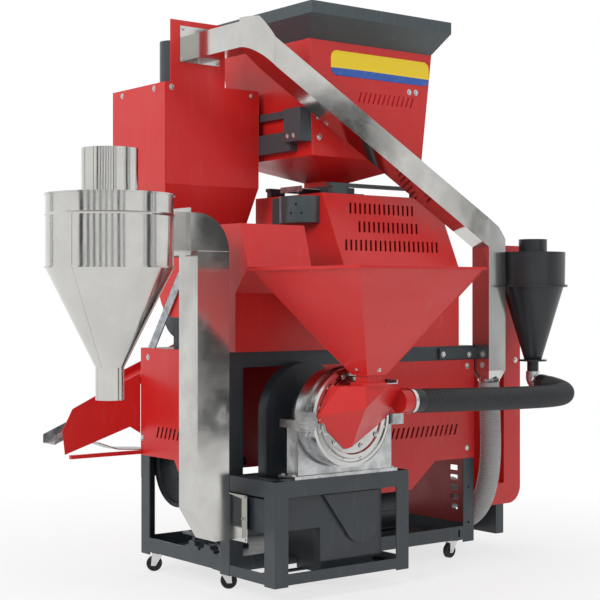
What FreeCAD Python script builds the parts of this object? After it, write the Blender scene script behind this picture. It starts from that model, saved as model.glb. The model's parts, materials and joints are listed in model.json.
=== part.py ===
import FreeCAD, Part
import math
import os

# Combined rice mill: huller, whitener, vibrating screen and claw grinder on one castored frame.
# Millimetres.  +X runs along the front to the right, +Y to the back, +Z up from the floor.
# The model is built from the front left corner of the main frame, then moved so that the
# origin is the bottom centre of the whole machine.

# ---------------------------------------------------------------- general
SHEET = 2.0                 # sheet metal of panels, hoppers and housings
STAINLESS = 1.5             # wall of the stainless ducts and cyclone
MOVING_GAP = 0.3            # between a moving piece and its seat
FIT = 0.05                  # radial running clearance of a shaft in its bearing
CUT_OVER = 5.0              # how far a cutting tool runs past the face it cuts

# ---------------------------------------------------------------- main frame
FRAME_LENGTH = 1025.0
FRAME_WIDTH = 504.0
FRAME_TOP = 721.0
LEG_BOTTOM = 52.0
LEG_FLANGE = 50.0
LEG_THICK = 4.0
RAIL_FLANGE = 45.0
RAIL_BOTTOM = 62.0
RAIL_TOP = RAIL_BOTTOM + RAIL_FLANGE
FLOOR_THICK = 3.0
DECK_THICK = 3.0
DECK_TOP = FRAME_TOP + DECK_THICK
LEG_HOLE_RADIUS = 4.5
LEG_HOLE_LOW = 118.0
LEG_HOLE_PITCH = 121.0
LEG_HOLE_EDGE = 25.0
RAIL_SLOT_LENGTH = 24.0
RAIL_SLOT_WIDTH = 9.0

# ---------------------------------------------------------------- castors
WHEEL_RADIUS = 25.0
WHEEL_WIDTH = 18.0
AXLE_RADIUS = 4.0
CASTOR_TRAIL = 19.0
FORK_THICK = 2.5
FORK_CROWN = 4.0
CASTOR_PLATE = 44.0
CASTOR_PLATE_THICK = 3.0
KINGPIN_RADIUS = 6.0
CASTOR_INSET = 26.0
CASTOR_FROM_LEG = 24.0

# ---------------------------------------------------------------- grinder stand
STAND_LENGTH = 518.0
STAND_DEPTH = 226.0
STAND_BOTTOM = 49.0
STAND_TOP = 355.0
STAND_RAIL = 48.0
STAND_LOW_RAIL = 32.0
STAND_LOW_BOTTOM = 54.0
STAND_BAR = 28.0
STAND_BARS_Y = (-150.0, -84.0)

# ---------------------------------------------------------------- claw grinder
GRINDER_X = 247.0
GRINDER_Z = 534.0
DRUM_RADIUS = 147.0
DRUM_WALL = 14.0
DRUM_FRONT = -268.0
DRUM_BACK = -112.0
PEDESTAL_LEFT = 95.0
PEDESTAL_RIGHT = 457.0
PEDESTAL_FRONT = -214.0
PEDESTAL_BACK = -160.0
PEDESTAL_FOOT = 10.0
PEDESTAL_TOE = 18.0
PEDESTAL_SHOULDER = 530.0
DOOR_THICK = 17.0
ROTOR_RADIUS = 118.0
ROTOR_THICK = 14.0
ROTOR_SHAFT = 15.0
ROTOR_PIN_RADIUS = 5.0
ROTOR_PIN_LENGTH = 26.0
GUARD_RADIUS = 155.0
GUARD_FRONT = -62.0
GUARD_BACK = -20.0
PULLEY_RADIUS = 78.0
PULLEY_WIDTH = 22.0
KNOB_X = 64.0
KNOB_Z = 522.0
KNOB_RADIUS = 24.0
KNOB_STUD = 6.0
CLAMP_DEPTH = 26.0
COLLAR_X = 418.0
COLLAR_Y = -325.0
COLLAR_Z = 577.0
COLLAR_LENGTH = 22.0
COVER_FRONT = -376.0
COVER_LOW = 440.0
NECK_WIDTH = 54.0
NECK_BOTTOM = 628.0
NECK_CONE_BOTTOM = 664.0
GATE_THICK = 3.0

# ---------------------------------------------------------------- feed hopper over the grinder
FEED_LEFT = 0.0
FEED_RIGHT = 481.0
FEED_FRONT = -602.0
FEED_BACK = -96.0
FEED_RIM = 970.0
FEED_LIP = 8.0
FEED_LIP_OUT = 7.0
FEED_BOTTOM = 692.0
FEED_OUTLET = 110.0
FEED_X = 250.0
FEED_Y = COVER_FRONT + NECK_WIDTH / 2

# ---------------------------------------------------------------- housings on the deck
SIDE_RIGHT = 238.0
BRIDGE_TOP = 960.0
SIDE_BACK = 205.0
SIDE_FACE = -30.0
SIDE_STRAIGHT = 900.0
SIDE_BELLY_Y = -96.0
SIDE_BELLY_Z = 977.0
SIDE_TOP_Y = -59.0
SIDE_TOP = 1108.0
HULLER_LEFT = 446.0
HULLER_RIGHT = 954.0
HULLER_BACK = 480.0
HULLER_STRAIGHT = 990.0
HULLER_TOP_Y = 110.0
HULLER_TOP = 1230.0
VENT_WIDTH = 9.0
VENT_LENGTH = 36.0
VENT_LEAN = 20.0
ROLL_RADIUS = 60.0
ROLL_LENGTH = 300.0
ROLL_SHAFT = 16.0
ROLL_NIP = 1.0
ROLL_Z = 1080.0
ROLL_RATIO = 0.8
COVER_RADIUS = 82.0
COVER_BOTTOM = 1133.0
COVER_TOP = 1220.0
COVER_Y = 207.0

# ---------------------------------------------------------------- paddy hopper
HOPPER_LEFT = 404.0
HOPPER_RIGHT = 880.0
HOPPER_FRONT = 110.0
HOPPER_BACK = 557.0
HOPPER_FOLD = 1349.0
HOPPER_TOP = 1726.0
HOPPER_TOP_LEFT = 390.0
HOPPER_TOP_RIGHT = 927.0
HOPPER_TOP_BACK = 598.0
OUTLET_WIDTH = 110.0
OUTLET_TOP = 1284.0
RIM_LEFT = 338.0
RIM_RIGHT = 947.0
RIM_FRONT = 30.0
RIM_BACK = 650.0
RIM_LIP = 39.0
RIM_TOP = 1830.0
SUPPORT_BAR = 12.0
SUPPORT_BLOCK = 60.0

# ---------------------------------------------------------------- bran bin and elevator duct
BIN_RIGHT = 370.0
BIN_FRONT = 360.0
BIN_BACK = 688.0
BIN_FOLD = 1254.0
BIN_TOP = 1580.0
BIN_OUTLET_LEFT = 40.0
BIN_OUTLET_RIGHT = 345.0
BIN_OUTLET_Z = 1108.0
UPRIGHT_LEFT = 24.0
UPRIGHT_RIGHT = 237.0
UPRIGHT_TOP = 1784.0
FLANGE_LEFT = 60.0
FLANGE_RIGHT = 213.0
FLANGE_LOW = 1649.0
FLANGE_HIGH = 1766.0
DUCT = 80.0
DUCT_PLANE = -30.0
ARM_X = 137.0
ARM_Z = 1700.0
BEND_Y = 45.0
ELBOW_RISE = 12.0
ELBOW_CROWN = 30.0
SLOPE_START = 1690.0
SLOPE_START_DEPTH = 89.0
SLOPE_END = 1160.0
SLOPE_END_DEPTH = 99.0
DOWN_GAP = 3.0
DOWN_X = FRAME_LENGTH + DOWN_GAP + DUCT / 2
DOWN_TAPER = 638.0
DOWN_END = 597.0
SPIGOT_RADIUS = 34.0

# ---------------------------------------------------------------- bran fan, riser duct and cyclone
FAN_X = 352.0
FAN_Z = 212.0
FAN_RADIUS = 68.0
FAN_RELIEF = 10.0
FAN_FRONT = -190.0
FAN_BACK = -30.0
FAN_LEFT = 196.0
FAN_RIGHT = 437.0
FAN_TOP = 300.0
FAN_LOW = 102.0
FAN_CHAMBER = 82.0
RISER_LEFT = -174.0
RISER_RIGHT = -64.0
RISER_FRONT = -90.0
RISER_BACK = 8.0
RISER_PORT_LOW = 180.0
RISER_PORT_HIGH = 292.0
RISER_FLANGE = 13.0
RISER_FLANGE_X = -8.0
RISER_TOP = 1021.0
RISER_FLANGE_TOP_X = -207.0
CYCLONE_X = -505.0
CYCLONE_Y = -163.0
CYCLONE_RADIUS = 171.0
CYCLONE_BEAD = 4.0
CYCLONE_DRUM_LOW = 965.0
CYCLONE_DRUM_TOP = 1163.0
CYCLONE_BEAD_Z = 1107.0
CYCLONE_CONE_LOW = 699.0
CYCLONE_OUTLET_LOW = 612.0
CYCLONE_OUTLET = 38.5
CYCLONE_STACK = 76.0
CYCLONE_STACK_TOP = 1286.0
FINDER_RADIUS = CYCLONE_STACK - STAINLESS / 2
FINDER_DIP = 60.0
FINDER_LAP = 12.0

# ---------------------------------------------------------------- right hand guard and dust blower
BELT_GAP = 4.0
BELT_LEFT = DOWN_X + DUCT / 2 + BELT_GAP
BELT_WIDTH = 198.0
BELT_RIGHT = BELT_LEFT + BELT_WIDTH
BELT_FRONT = 52.0
BELT_DEPTH = 42.0
BELT_LOW = 155.0
BELT_TOP = 1074.0
BELT_CORNER = 60.0
BELT_RECESS = 18.0
BELT_BORDER = 75.0
POST_INSET = 75.0
POST_LEFT = BELT_LEFT + POST_INSET
POST_WIDTH = 37.0
POST_DEPTH = 128.0
BLOWER_Y = 300.0
BLOWER_Z = 170.0
BLOWER_RADIUS = 100.0
BLOWER_WIDTH = 84.0

# ---------------------------------------------------------------- black dust cyclone on the right
BLACK_FROM_BELT = 79.0
BLACK_X = BELT_RIGHT - BLACK_FROM_BELT
BLACK_Y = -83.0
BLACK_RADIUS = 110.0
BLACK_WALL = 3.0
BLACK_DRUM_LOW = 929.0
BLACK_DRUM_TOP = 1046.0
BLACK_CONE_LOW = 673.0
BLACK_CONE_RADIUS = 30.0
BLACK_OUTLET = 20.0
BLACK_OUTLET_LOW = 632.0
BLACK_STACK = 49.0
BLACK_STACK_TOP = 1091.0
ELBOW_RADIUS = 34.0
ELBOW_Z = 588.0
ELBOW_REACH = 38.0

# ---------------------------------------------------------------- drive and mill inside the frame
DRIVE_X = 60.0
DRIVE_FROM_BACK = 143.0
DRIVE_Y = FRAME_WIDTH - DRIVE_FROM_BACK
DRIVE_Z = 343.0
DRIVE_RADIUS = 130.0
DRIVE_SHAFT = 16.0
MILL_FROM_BACK = 152.0
MILL_Y = FRAME_WIDTH - MILL_FROM_BACK
MILL_Z = 850.0
MILL_RADIUS = 92.0
MOTOR_X = 540.0
MOTOR_Y = 170.0
MOTOR_RADIUS = 88.0
MOTOR_LENGTH = 250.0

# ---------------------------------------------------------------- vibrating screen
SCREEN_CLEAR = 6.0
SCREEN_WIDTH = 170.0
SCREEN_FRONT = FRAME_WIDTH + SCREEN_CLEAR
SCREEN_BACK = SCREEN_FRONT + SCREEN_WIDTH
SCREEN_LEFT = -286.0
SCREEN_RIGHT = 400.0
SCREEN_TOP_Z = 640.0
SCREEN_SLOPE = math.radians(22.5)
SCREEN_DECK_DROP = 34.0
SCREEN_BAR = 6.0
SCREEN_BARS_X = (60.0, 240.0)

# ---------------------------------------------------------------- hoses
SUCTION_RADIUS = 37.0
DISCHARGE_RADIUS = 36.5
CLAMP_WALL = 2.0

X = FreeCAD.Vector(1, 0, 0)
Y = FreeCAD.Vector(0, 1, 0)
Z = FreeCAD.Vector(0, 0, 1)

nodes = {}


# ================================================================ helpers
def at(x, y, z):
    return FreeCAD.Vector(x, y, z)


def box(x0, x1, y0, y1, z0, z1):
    return Part.makeBox(x1 - x0, y1 - y0, z1 - z0, at(x0, y0, z0))


def rod(start, axis, radius, length):
    return Part.makeCylinder(radius, length, start, axis)


def pipe(start, axis, outer, inner, length):
    return rod(start, axis, outer, length).cut(rod(start, axis, inner, length))


def face(points):
    return Part.Face(Part.makePolygon(points + points[:1]))


def inset(outline, wall):
    """Outline of (a, b) pairs moved inwards by a wall's thickness."""
    inner = face([at(a, b, 0) for a, b in outline]).makeOffset2D(-wall, 2)
    return [(vertex.X, vertex.Y) for vertex in inner.OuterWire.OrderedVertexes]


def prism(points, travel):
    return face(points).extrude(travel)


def front_profile(outline, y0, y1):
    """Solid whose outline is given as (x, z) and that runs from y0 to y1."""
    return prism([at(x, y0, z) for x, z in outline], Y * (y1 - y0))


def side_profile(outline, x0, x1):
    """Solid whose outline is given as (y, z) and that runs from x0 to x1."""
    return prism([at(x0, y, z) for y, z in outline], X * (x1 - x0))


def rectangle(x0, x1, y0, y1, z):
    corners = [at(x0, y0, z), at(x1, y0, z), at(x1, y1, z), at(x0, y1, z)]
    return Part.makePolygon(corners + corners[:1])


def frustum(low, z_low, high, z_high):
    """Solid between two level rectangles, each (x0, x1, y0, y1)."""
    return Part.makeLoft([rectangle(*low, z_low), rectangle(*high, z_high)], True, True)


def grow(rect, by):
    x0, x1, y0, y1 = rect
    return (x0 - by, x1 + by, y0 - by, y1 + by)


def square(x, y, width):
    half = width / 2
    return (x - half, x + half, y - half, y + half)


def funnel(low, z_low, high, z_high, wall):
    """Open sheet-metal funnel: the rectangles are its outside."""
    return frustum(low, z_low, high, z_high).cut(
        frustum(grow(low, -wall), z_low, grow(high, -wall), z_high))


def collar_box(rect, z0, z1, wall):
    """Open rectangular sleeve."""
    inner = grow(rect, -wall)
    return box(*rect, z0, z1).cut(box(*inner, z0, z1))


def angle_bar(corner, along, length, u, v, flange, thick):
    """Equal angle iron: the flanges leave the outer corner along u and v."""
    steps = [at(0, 0, 0), u * flange, u * flange + v * thick,
             u * thick + v * thick, u * thick + v * flange, v * flange]
    return prism([corner + step for step in steps], along * length)


def revolve(profile, centre, axis, out):
    """Solid of revolution: the profile is (distance from axis, distance along axis)."""
    points = [centre + out * r + axis * a for r, a in profile]
    return face(points).revolve(centre, axis, 360)


def slice_off(shape, point, normal):
    """Cut away what lies beyond a plane on the side of its normal."""
    reach = 2000.0
    block = Part.makeBox(reach, reach, reach, at(-reach / 2, -reach / 2, 0))
    block.Placement = FreeCAD.Placement(point, FreeCAD.Rotation(Z, normal))
    return shape.cut(block)


def union(shapes):
    result = shapes[0]
    for shape in shapes[1:]:
        result = result.fuse(shape)
    return result.removeSplitter()


def placed(shape, place):
    """Copy of a shape moved by a placement."""
    moved = shape.copy()
    moved.Placement = place.multiply(moved.Placement)
    return moved


def cut_all(shape, tools):
    for tool in tools:
        shape = shape.cut(tool)
    return shape


def swept_path(points):
    """Straight runs joined by tangent arcs, each as large as its two runs allow."""
    share = 0.45
    edges = []
    radii = []
    start = points[0]
    for before, corner, after in zip(points, points[1:], points[2:]):
        arrive = corner - before
        leave = after - corner
        shorter = min(arrive.Length, leave.Length)
        turn = arrive.getAngle(leave)
        trim = share * shorter
        radii.append(trim / math.tan(turn / 2))
        arrive.normalize()
        leave.normalize()
        arc_start = corner - arrive * trim
        arc_end = corner + leave * trim
        toward = leave - arrive
        toward.normalize()
        centre_distance = math.hypot(radii[-1], trim)
        middle = corner + toward * (centre_distance - radii[-1])
        edges.append(Part.LineSegment(start, arc_start).toShape())
        edges.append(Part.Arc(arc_start, middle, arc_end).toShape())
        start = arc_end
    edges.append(Part.LineSegment(start, points[-1]).toShape())
    return Part.Wire(edges), radii


def hose(name, points, radius):
    path, radii = swept_path(points)
    heading = points[1] - points[0]
    heading.normalize()
    section = Part.Wire([Part.Circle(points[0], heading, radius).toShape()])
    solid = path.makePipeShell([section], True, False)
    expected = math.pi * radius ** 2 * path.Length
    print(name, "length %.0f" % path.Length, "volume ratio %.4f" % (solid.Volume / expected),
          "radii", [round(r) for r in radii])
    return solid


# ================================================================ main frame
def leg_corners():
    for x, u in ((0.0, X), (FRAME_LENGTH, -X)):
        for y, v in ((0.0, Y), (FRAME_WIDTH, -Y)):
            yield x, y, u, v


def frame_legs():
    legs = []
    for x, y, u, v in leg_corners():
        legs.append(angle_bar(at(x, y, LEG_BOTTOM), Z, FRAME_TOP - LEG_BOTTOM, u, v,
                              LEG_FLANGE, LEG_THICK))
    hole_x = FRAME_LENGTH - LEG_HOLE_EDGE
    holes = [rod(at(hole_x, -CUT_OVER, LEG_HOLE_LOW + n * LEG_HOLE_PITCH), Y,
                 LEG_HOLE_RADIUS, LEG_THICK + 2 * CUT_OVER) for n in range(2)]
    legs[2] = cut_all(legs[2], holes)
    return Part.makeCompound(legs)


def frame_rails():
    rails = []
    run_x = FRAME_LENGTH - 2 * LEG_FLANGE
    run_y = FRAME_WIDTH - 2 * LEG_FLANGE
    for z, up in ((RAIL_BOTTOM, Z), (FRAME_TOP, -Z)):
        for y, v in ((0.0, Y), (FRAME_WIDTH, -Y)):
            rails.append(angle_bar(at(LEG_FLANGE, y, z), X, run_x, v, up, RAIL_FLANGE, LEG_THICK))
        for x, u in ((0.0, X), (FRAME_LENGTH, -X)):
            rails.append(angle_bar(at(x, LEG_FLANGE, z), Y, run_y, u, up, RAIL_FLANGE, LEG_THICK))
    slot_x = FRAME_LENGTH - LEG_FLANGE - RAIL_SLOT_LENGTH
    slot = box(slot_x, slot_x + RAIL_SLOT_WIDTH, -CUT_OVER, LEG_THICK + CUT_OVER,
               RAIL_BOTTOM + RAIL_SLOT_WIDTH, RAIL_BOTTOM + RAIL_SLOT_WIDTH + RAIL_SLOT_LENGTH)
    rails[0] = rails[0].cut(slot)
    return Part.makeCompound(rails)


def castor_places():
    """Swivel axis and heading of each castor, under the rails beside the legs."""
    right = FRAME_LENGTH - LEG_FLANGE - CASTOR_FROM_LEG
    back = FRAME_WIDTH - LEG_FLANGE - CASTOR_FROM_LEG
    left = LEG_FLANGE + CASTOR_FROM_LEG
    return {"front_left": (CASTOR_INSET, left, 330.0),
            "back_left": (CASTOR_INSET, back, 140.0),
            "front_right": (right, CASTOR_INSET, 185.0),
            "back_right": (right, FRAME_WIDTH - CASTOR_INSET, 20.0)}


def frame_plates():
    inside = LEG_THICK
    floor_z = RAIL_BOTTOM + LEG_THICK
    floor = box(inside, FRAME_LENGTH - inside, inside, FRAME_WIDTH - inside,
                floor_z, floor_z + FLOOR_THICK)
    deck = box(0, FRAME_LENGTH, 0, FRAME_WIDTH, FRAME_TOP, DECK_TOP)
    plates = [floor, deck]
    half = CASTOR_PLATE / 2
    for x, y, heading in castor_places().values():
        plate = box(x - half, x + half, y - half, y + half,
                    RAIL_BOTTOM - CASTOR_PLATE_THICK, RAIL_BOTTOM)
        plates.append(plate.cut(rod(at(x, y, 0), Z, KINGPIN_RADIUS + FIT, RAIL_BOTTOM)))
    return Part.makeCompound(plates)


# ================================================================ castors
def castor_fork(x, y, heading):
    """Swivel fork with its kingpin; the wheel trails along +X before the turn."""
    crown_top = RAIL_BOTTOM - CASTOR_PLATE_THICK - MOVING_GAP
    inner = WHEEL_WIDTH / 2 + MOVING_GAP
    outer = inner + FORK_THICK
    crown = box(-outer - 4, CASTOR_TRAIL + 6, -outer, outer, crown_top - FORK_CROWN, crown_top)
    cheek = [(-outer, crown_top), (CASTOR_TRAIL + 6, crown_top),
             (CASTOR_TRAIL + 9, WHEEL_RADIUS - 7), (CASTOR_TRAIL - 6, WHEEL_RADIUS - 7)]
    cheeks = [front_profile(cheek, inner, outer), front_profile(cheek, -outer, -inner)]
    kingpin = rod(at(0, 0, crown_top - FORK_CROWN), Z, KINGPIN_RADIUS,
                  FORK_CROWN + CASTOR_PLATE_THICK)
    axle = rod(at(CASTOR_TRAIL, -outer - 2, WHEEL_RADIUS), Y, AXLE_RADIUS, 2 * outer + 4)
    fork = union([crown] + cheeks + [kingpin, axle])
    place = FreeCAD.Placement(at(x, y, 0), FreeCAD.Rotation(Z, heading))
    return placed(fork, place)


def castor_wheel(x, y, heading):
    half = WHEEL_WIDTH / 2
    bevel = 3.0
    dish = 3.0
    profile = [(AXLE_RADIUS + FIT, -half), (AXLE_RADIUS + 5, -half), (AXLE_RADIUS + 7, -half + dish),
               (WHEEL_RADIUS - 8, -half + dish), (WHEEL_RADIUS - 6, -half),
               (WHEEL_RADIUS - bevel, -half), (WHEEL_RADIUS, -half + bevel)]
    mirrored = [(r, -a) for r, a in reversed(profile)]
    wheel = revolve(profile + mirrored, at(CASTOR_TRAIL, 0, WHEEL_RADIUS), Y, X)
    place = FreeCAD.Placement(at(x, y, 0), FreeCAD.Rotation(Z, heading))
    return placed(wheel, place)


# ================================================================ red panels round the frame
def vents(x, z, count, pitch, y0, y1):
    """A row of leaning slots cut through a front panel."""
    slots = []
    lean = VENT_LENGTH * math.tan(math.radians(VENT_LEAN))
    for n in range(count):
        left = x + n * pitch
        outline = [(left, z), (left + VENT_WIDTH, z), (left + VENT_WIDTH + lean, z + VENT_LENGTH),
                   (left + lean, z + VENT_LENGTH)]
        slots.append(front_profile(outline, y0, y1))
    return slots


PANEL_TOP = FRAME_TOP - RAIL_FLANGE
PANEL_LEFT = 250.0
PANEL_LOW = 251.0
PANEL_HIGH = 339.0
PANEL_STEP_LEFT = 733.0
PANEL_STEP_RIGHT = 842.0
PANEL_SLOT_Y = 80.0


def front_panel():
    outline = [(PANEL_LEFT, PANEL_LOW), (PANEL_STEP_LEFT, PANEL_LOW),
               (PANEL_STEP_RIGHT, PANEL_HIGH), (FRAME_LENGTH, PANEL_HIGH),
               (FRAME_LENGTH, PANEL_TOP), (PANEL_LEFT, PANEL_TOP)]
    panel = front_profile(outline, -SHEET, 0)
    return cut_all(panel, vents(640, 422, 14, 22, -SHEET - CUT_OVER, CUT_OVER))


def left_panel():
    """Red side sheet, stepped down towards the front, with the strut that steadies the screen."""
    outline = [(FRAME_WIDTH, DECK_TOP), (FRAME_WIDTH, 373), (302, 373), (280, 340), (120, 340),
               (120, DECK_TOP)]
    panel = side_profile(outline, -SHEET, 0)
    lean = VENT_LENGTH * math.tan(math.radians(VENT_LEAN))
    for n in range(6):
        y = 410 - n * 24
        slot = [(y, 436), (y - VENT_WIDTH, 436), (y - VENT_WIDTH - lean, 436 + VENT_LENGTH),
                (y - lean, 436 + VENT_LENGTH)]
        panel = panel.cut(side_profile(slot, -SHEET - CUT_OVER, CUT_OVER))
    strut = box(SCREEN_LEFT + 20, 0, FRAME_WIDTH - 14, FRAME_WIDTH, 377, 389)
    return Part.makeCompound([panel, strut.cut(panel)])


def rear_panels():
    right = box(FRAME_LENGTH, FRAME_LENGTH + SHEET, LEG_THICK, FRAME_WIDTH, RAIL_TOP, FRAME_TOP)
    for n in range(5):
        z = 150 + n * 34
        right = right.cut(box(FRAME_LENGTH - CUT_OVER, FRAME_LENGTH + SHEET + CUT_OVER,
                              PANEL_SLOT_Y, PANEL_SLOT_Y + VENT_LENGTH, z, z + 2 * VENT_WIDTH))
    back = box(0, FRAME_LENGTH, FRAME_WIDTH, FRAME_WIDTH + SHEET, 300, FRAME_TOP)
    return Part.makeCompound([right, back])


# ================================================================ housings on the deck
def side_housing():
    """Hood over the whitener: flat foot, belly that leans out, sloping upper face."""
    outline = [(SIDE_FACE, DECK_TOP), (SIDE_FACE, SIDE_STRAIGHT), (SIDE_BELLY_Y, SIDE_BELLY_Z),
               (SIDE_TOP_Y, SIDE_TOP), (SIDE_BACK, SIDE_TOP), (SIDE_BACK, DECK_TOP)]
    hood = side_profile(outline, 0, SIDE_RIGHT)
    room = side_profile(inset(outline, SHEET), SHEET, SIDE_RIGHT - SHEET)
    bridge = box(SIDE_RIGHT, HULLER_LEFT, SIDE_FACE, SIDE_BACK, DECK_TOP, BRIDGE_TOP)
    bridge_room = box(SIDE_RIGHT + SHEET, HULLER_LEFT - SHEET, SIDE_FACE + SHEET,
                      SIDE_BACK - SHEET, DECK_TOP + SHEET, BRIDGE_TOP - SHEET)
    return cut_all(union([hood, bridge]), [room, bridge_room])


def huller_housing():
    """Sheet box round the two rubber rolls, with a leaning front and rows of vent slots."""
    outline = [(0, DECK_TOP), (0, HULLER_STRAIGHT), (HULLER_TOP_Y, HULLER_TOP),
               (HULLER_BACK, HULLER_TOP), (HULLER_BACK, DECK_TOP)]
    run = math.hypot(HULLER_TOP_Y, HULLER_TOP - HULLER_STRAIGHT)
    inward = SHEET * run / (HULLER_TOP - HULLER_STRAIGHT)
    inside = [(SHEET, DECK_TOP + SHEET), (SHEET, HULLER_STRAIGHT),
              (HULLER_TOP_Y + inward, HULLER_TOP - SHEET),
              (HULLER_BACK - SHEET, HULLER_TOP - SHEET), (HULLER_BACK - SHEET, DECK_TOP + SHEET)]
    shell = side_profile(outline, HULLER_LEFT, HULLER_RIGHT).cut(
        side_profile(inside, HULLER_LEFT + SHEET, HULLER_RIGHT - SHEET))
    inlet = square(OUTLET_X, OUTLET_Y, OUTLET_WIDTH - 2 * SHEET)
    shell = shell.cut(box(*inlet, HULLER_TOP - CUT_OVER, HULLER_TOP + CUT_OVER))
    for row, (x, count) in enumerate(((535, 14), (550, 13), (470, 20))):
        z = 1164 - row * 62
        for slot in vents(x, z, count, 21, -CUT_OVER, HULLER_TOP_Y):
            shell = shell.cut(slot)
    for y in roll_rows():
        for x in (HULLER_LEFT + SHEET, HULLER_RIGHT - SHEET - ROLL_BOSS):
            shell = shell.fuse(rod(at(x, y, ROLL_Z), X, 2 * ROLL_SHAFT, ROLL_BOSS))
        shell = shell.cut(rod(at(HULLER_LEFT - CUT_OVER, y, ROLL_Z), X, ROLL_SHAFT + FIT,
                              HULLER_RIGHT - HULLER_LEFT + 2 * CUT_OVER))
    return shell


OUTLET_X = (HOPPER_LEFT + HOPPER_RIGHT) / 2
OUTLET_Y = (HOPPER_FRONT + HOPPER_BACK) / 2
ROLL_BOSS = 20.0


def roll_rows():
    apart = ROLL_RADIUS + ROLL_NIP / 2
    return (OUTLET_Y - apart, OUTLET_Y + apart)


def roll(y):
    """Rubber-covered roll on its through shaft."""
    middle = (HULLER_LEFT + HULLER_RIGHT) / 2
    drum = rod(at(middle - ROLL_LENGTH / 2, y, ROLL_Z), X, ROLL_RADIUS, ROLL_LENGTH)
    overhang = 16.0
    shaft = rod(at(HULLER_LEFT - overhang, y, ROLL_Z), X, ROLL_SHAFT,
                HULLER_RIGHT - HULLER_LEFT + 2 * overhang)
    return union([drum, shaft])


def guard_end_cover():
    """Curved dark cover bolted on the left end of the huller housing."""
    height = COVER_TOP - COVER_BOTTOM
    drum = rod(at(HULLER_LEFT, COVER_Y, COVER_BOTTOM), Z, COVER_RADIUS, height)
    drum = slice_off(drum, at(HULLER_LEFT, COVER_Y, COVER_BOTTOM), X)
    back = box(HULLER_LEFT - 46, HULLER_LEFT, COVER_Y + COVER_RADIUS - 12,
               COVER_Y + COVER_RADIUS + 34, COVER_BOTTOM, COVER_TOP)
    cover = union([drum, back])
    for angle, z in ((200, 30), (226, 30), (213, 58)):
        reach = at(math.cos(math.radians(angle)), math.sin(math.radians(angle)), 0)
        centre = at(HULLER_LEFT, COVER_Y, COVER_BOTTOM + z)
        cover = cover.cut(rod(centre + reach * (COVER_RADIUS - 8), reach, 4.0, 20))
    return cover


# ================================================================ paddy hopper
def hopper_rects():
    fold = (HOPPER_LEFT, HOPPER_RIGHT, HOPPER_FRONT, HOPPER_BACK)
    top = (HOPPER_TOP_LEFT, HOPPER_TOP_RIGHT, HOPPER_FRONT, HOPPER_TOP_BACK)
    outlet = square(OUTLET_X, OUTLET_Y, OUTLET_WIDTH)
    return outlet, fold, top


GATE_BASE = HULLER_TOP + 24.0
GATE_BOX_TOP = OUTLET_TOP - 18.0


def paddy_hopper():
    outlet, fold, top = hopper_rects()
    lower = funnel(outlet, OUTLET_TOP, fold, HOPPER_FOLD, SHEET)
    upper = funnel(fold, HOPPER_FOLD, top, HOPPER_TOP, SHEET)
    spout = collar_box(outlet, GATE_BOX_TOP, OUTLET_TOP, SHEET)
    body = union([lower, upper, spout])
    return cut_all(body, vents(596, 1536, 12, 21, HOPPER_FRONT - CUT_OVER, HOPPER_FRONT + CUT_OVER))


def hopper_rim():
    """Dark flared rim that widens from the hopper's mouth to an upright lip."""
    outlet, fold, top = hopper_rects()
    mouth = (RIM_LEFT, RIM_RIGHT, RIM_FRONT, RIM_BACK)
    lip_low = RIM_TOP - RIM_LIP
    flare = funnel(top, HOPPER_TOP, mouth, lip_low, SHEET)
    return union([flare, collar_box(mouth, lip_low, RIM_TOP, SHEET)])


GATE_REACH = 152.0
GATE_TRAVEL = 104.0


def gate_box():
    """Slotted box between the hopper's spout and the huller; the slide gate runs in it."""
    outer = square(OUTLET_X, OUTLET_Y, OUTLET_WIDTH + 28)
    port = square(OUTLET_X, OUTLET_Y, OUTLET_WIDTH - 2 * SHEET)
    body = box(*outer, HULLER_TOP, GATE_BOX_TOP)
    body = body.cut(box(*port, HULLER_TOP - CUT_OVER, GATE_BOX_TOP + CUT_OVER))
    half = OUTLET_WIDTH / 2 + 4
    slot = box(outer[0] - CUT_OVER, OUTLET_X + half, OUTLET_Y - half, OUTLET_Y + half,
               GATE_BASE, GATE_BASE + GATE_THICK + 2 * MOVING_GAP)
    return body.cut(slot)


def hopper_gate():
    half = OUTLET_WIDTH / 2 + 4 - MOVING_GAP
    low = GATE_BASE + MOVING_GAP
    plate = box(OUTLET_X - GATE_REACH, OUTLET_X + half - MOVING_GAP, OUTLET_Y - half, OUTLET_Y + half,
                low, low + GATE_THICK)
    handle = box(OUTLET_X - GATE_REACH - GATE_THICK, OUTLET_X - GATE_REACH,
                 OUTLET_Y - half, OUTLET_Y + half, low - 8, low + GATE_THICK + 8)
    return union([plate, handle])


def hopper_support():
    """Gate box, and two cross bars on blocks that steady the hopper's lower funnel."""
    solids = [gate_box()]
    bar_z = HULLER_TOP + SUPPORT_BLOCK / 2
    for y in (HULLER_TOP_Y + 16, HULLER_BACK - 16):
        for x in (HULLER_LEFT + 46, HULLER_RIGHT - 104):
            solids.append(box(x, x + SUPPORT_BLOCK, y - 12, y + 12, HULLER_TOP, bar_z - SUPPORT_BAR / 2))
        solids.append(box(HULLER_LEFT + 40, HULLER_RIGHT - 40, y - SUPPORT_BAR, y + SUPPORT_BAR,
                          bar_z - SUPPORT_BAR / 2, bar_z + SUPPORT_BAR / 2))
    return Part.makeCompound(solids)


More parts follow.
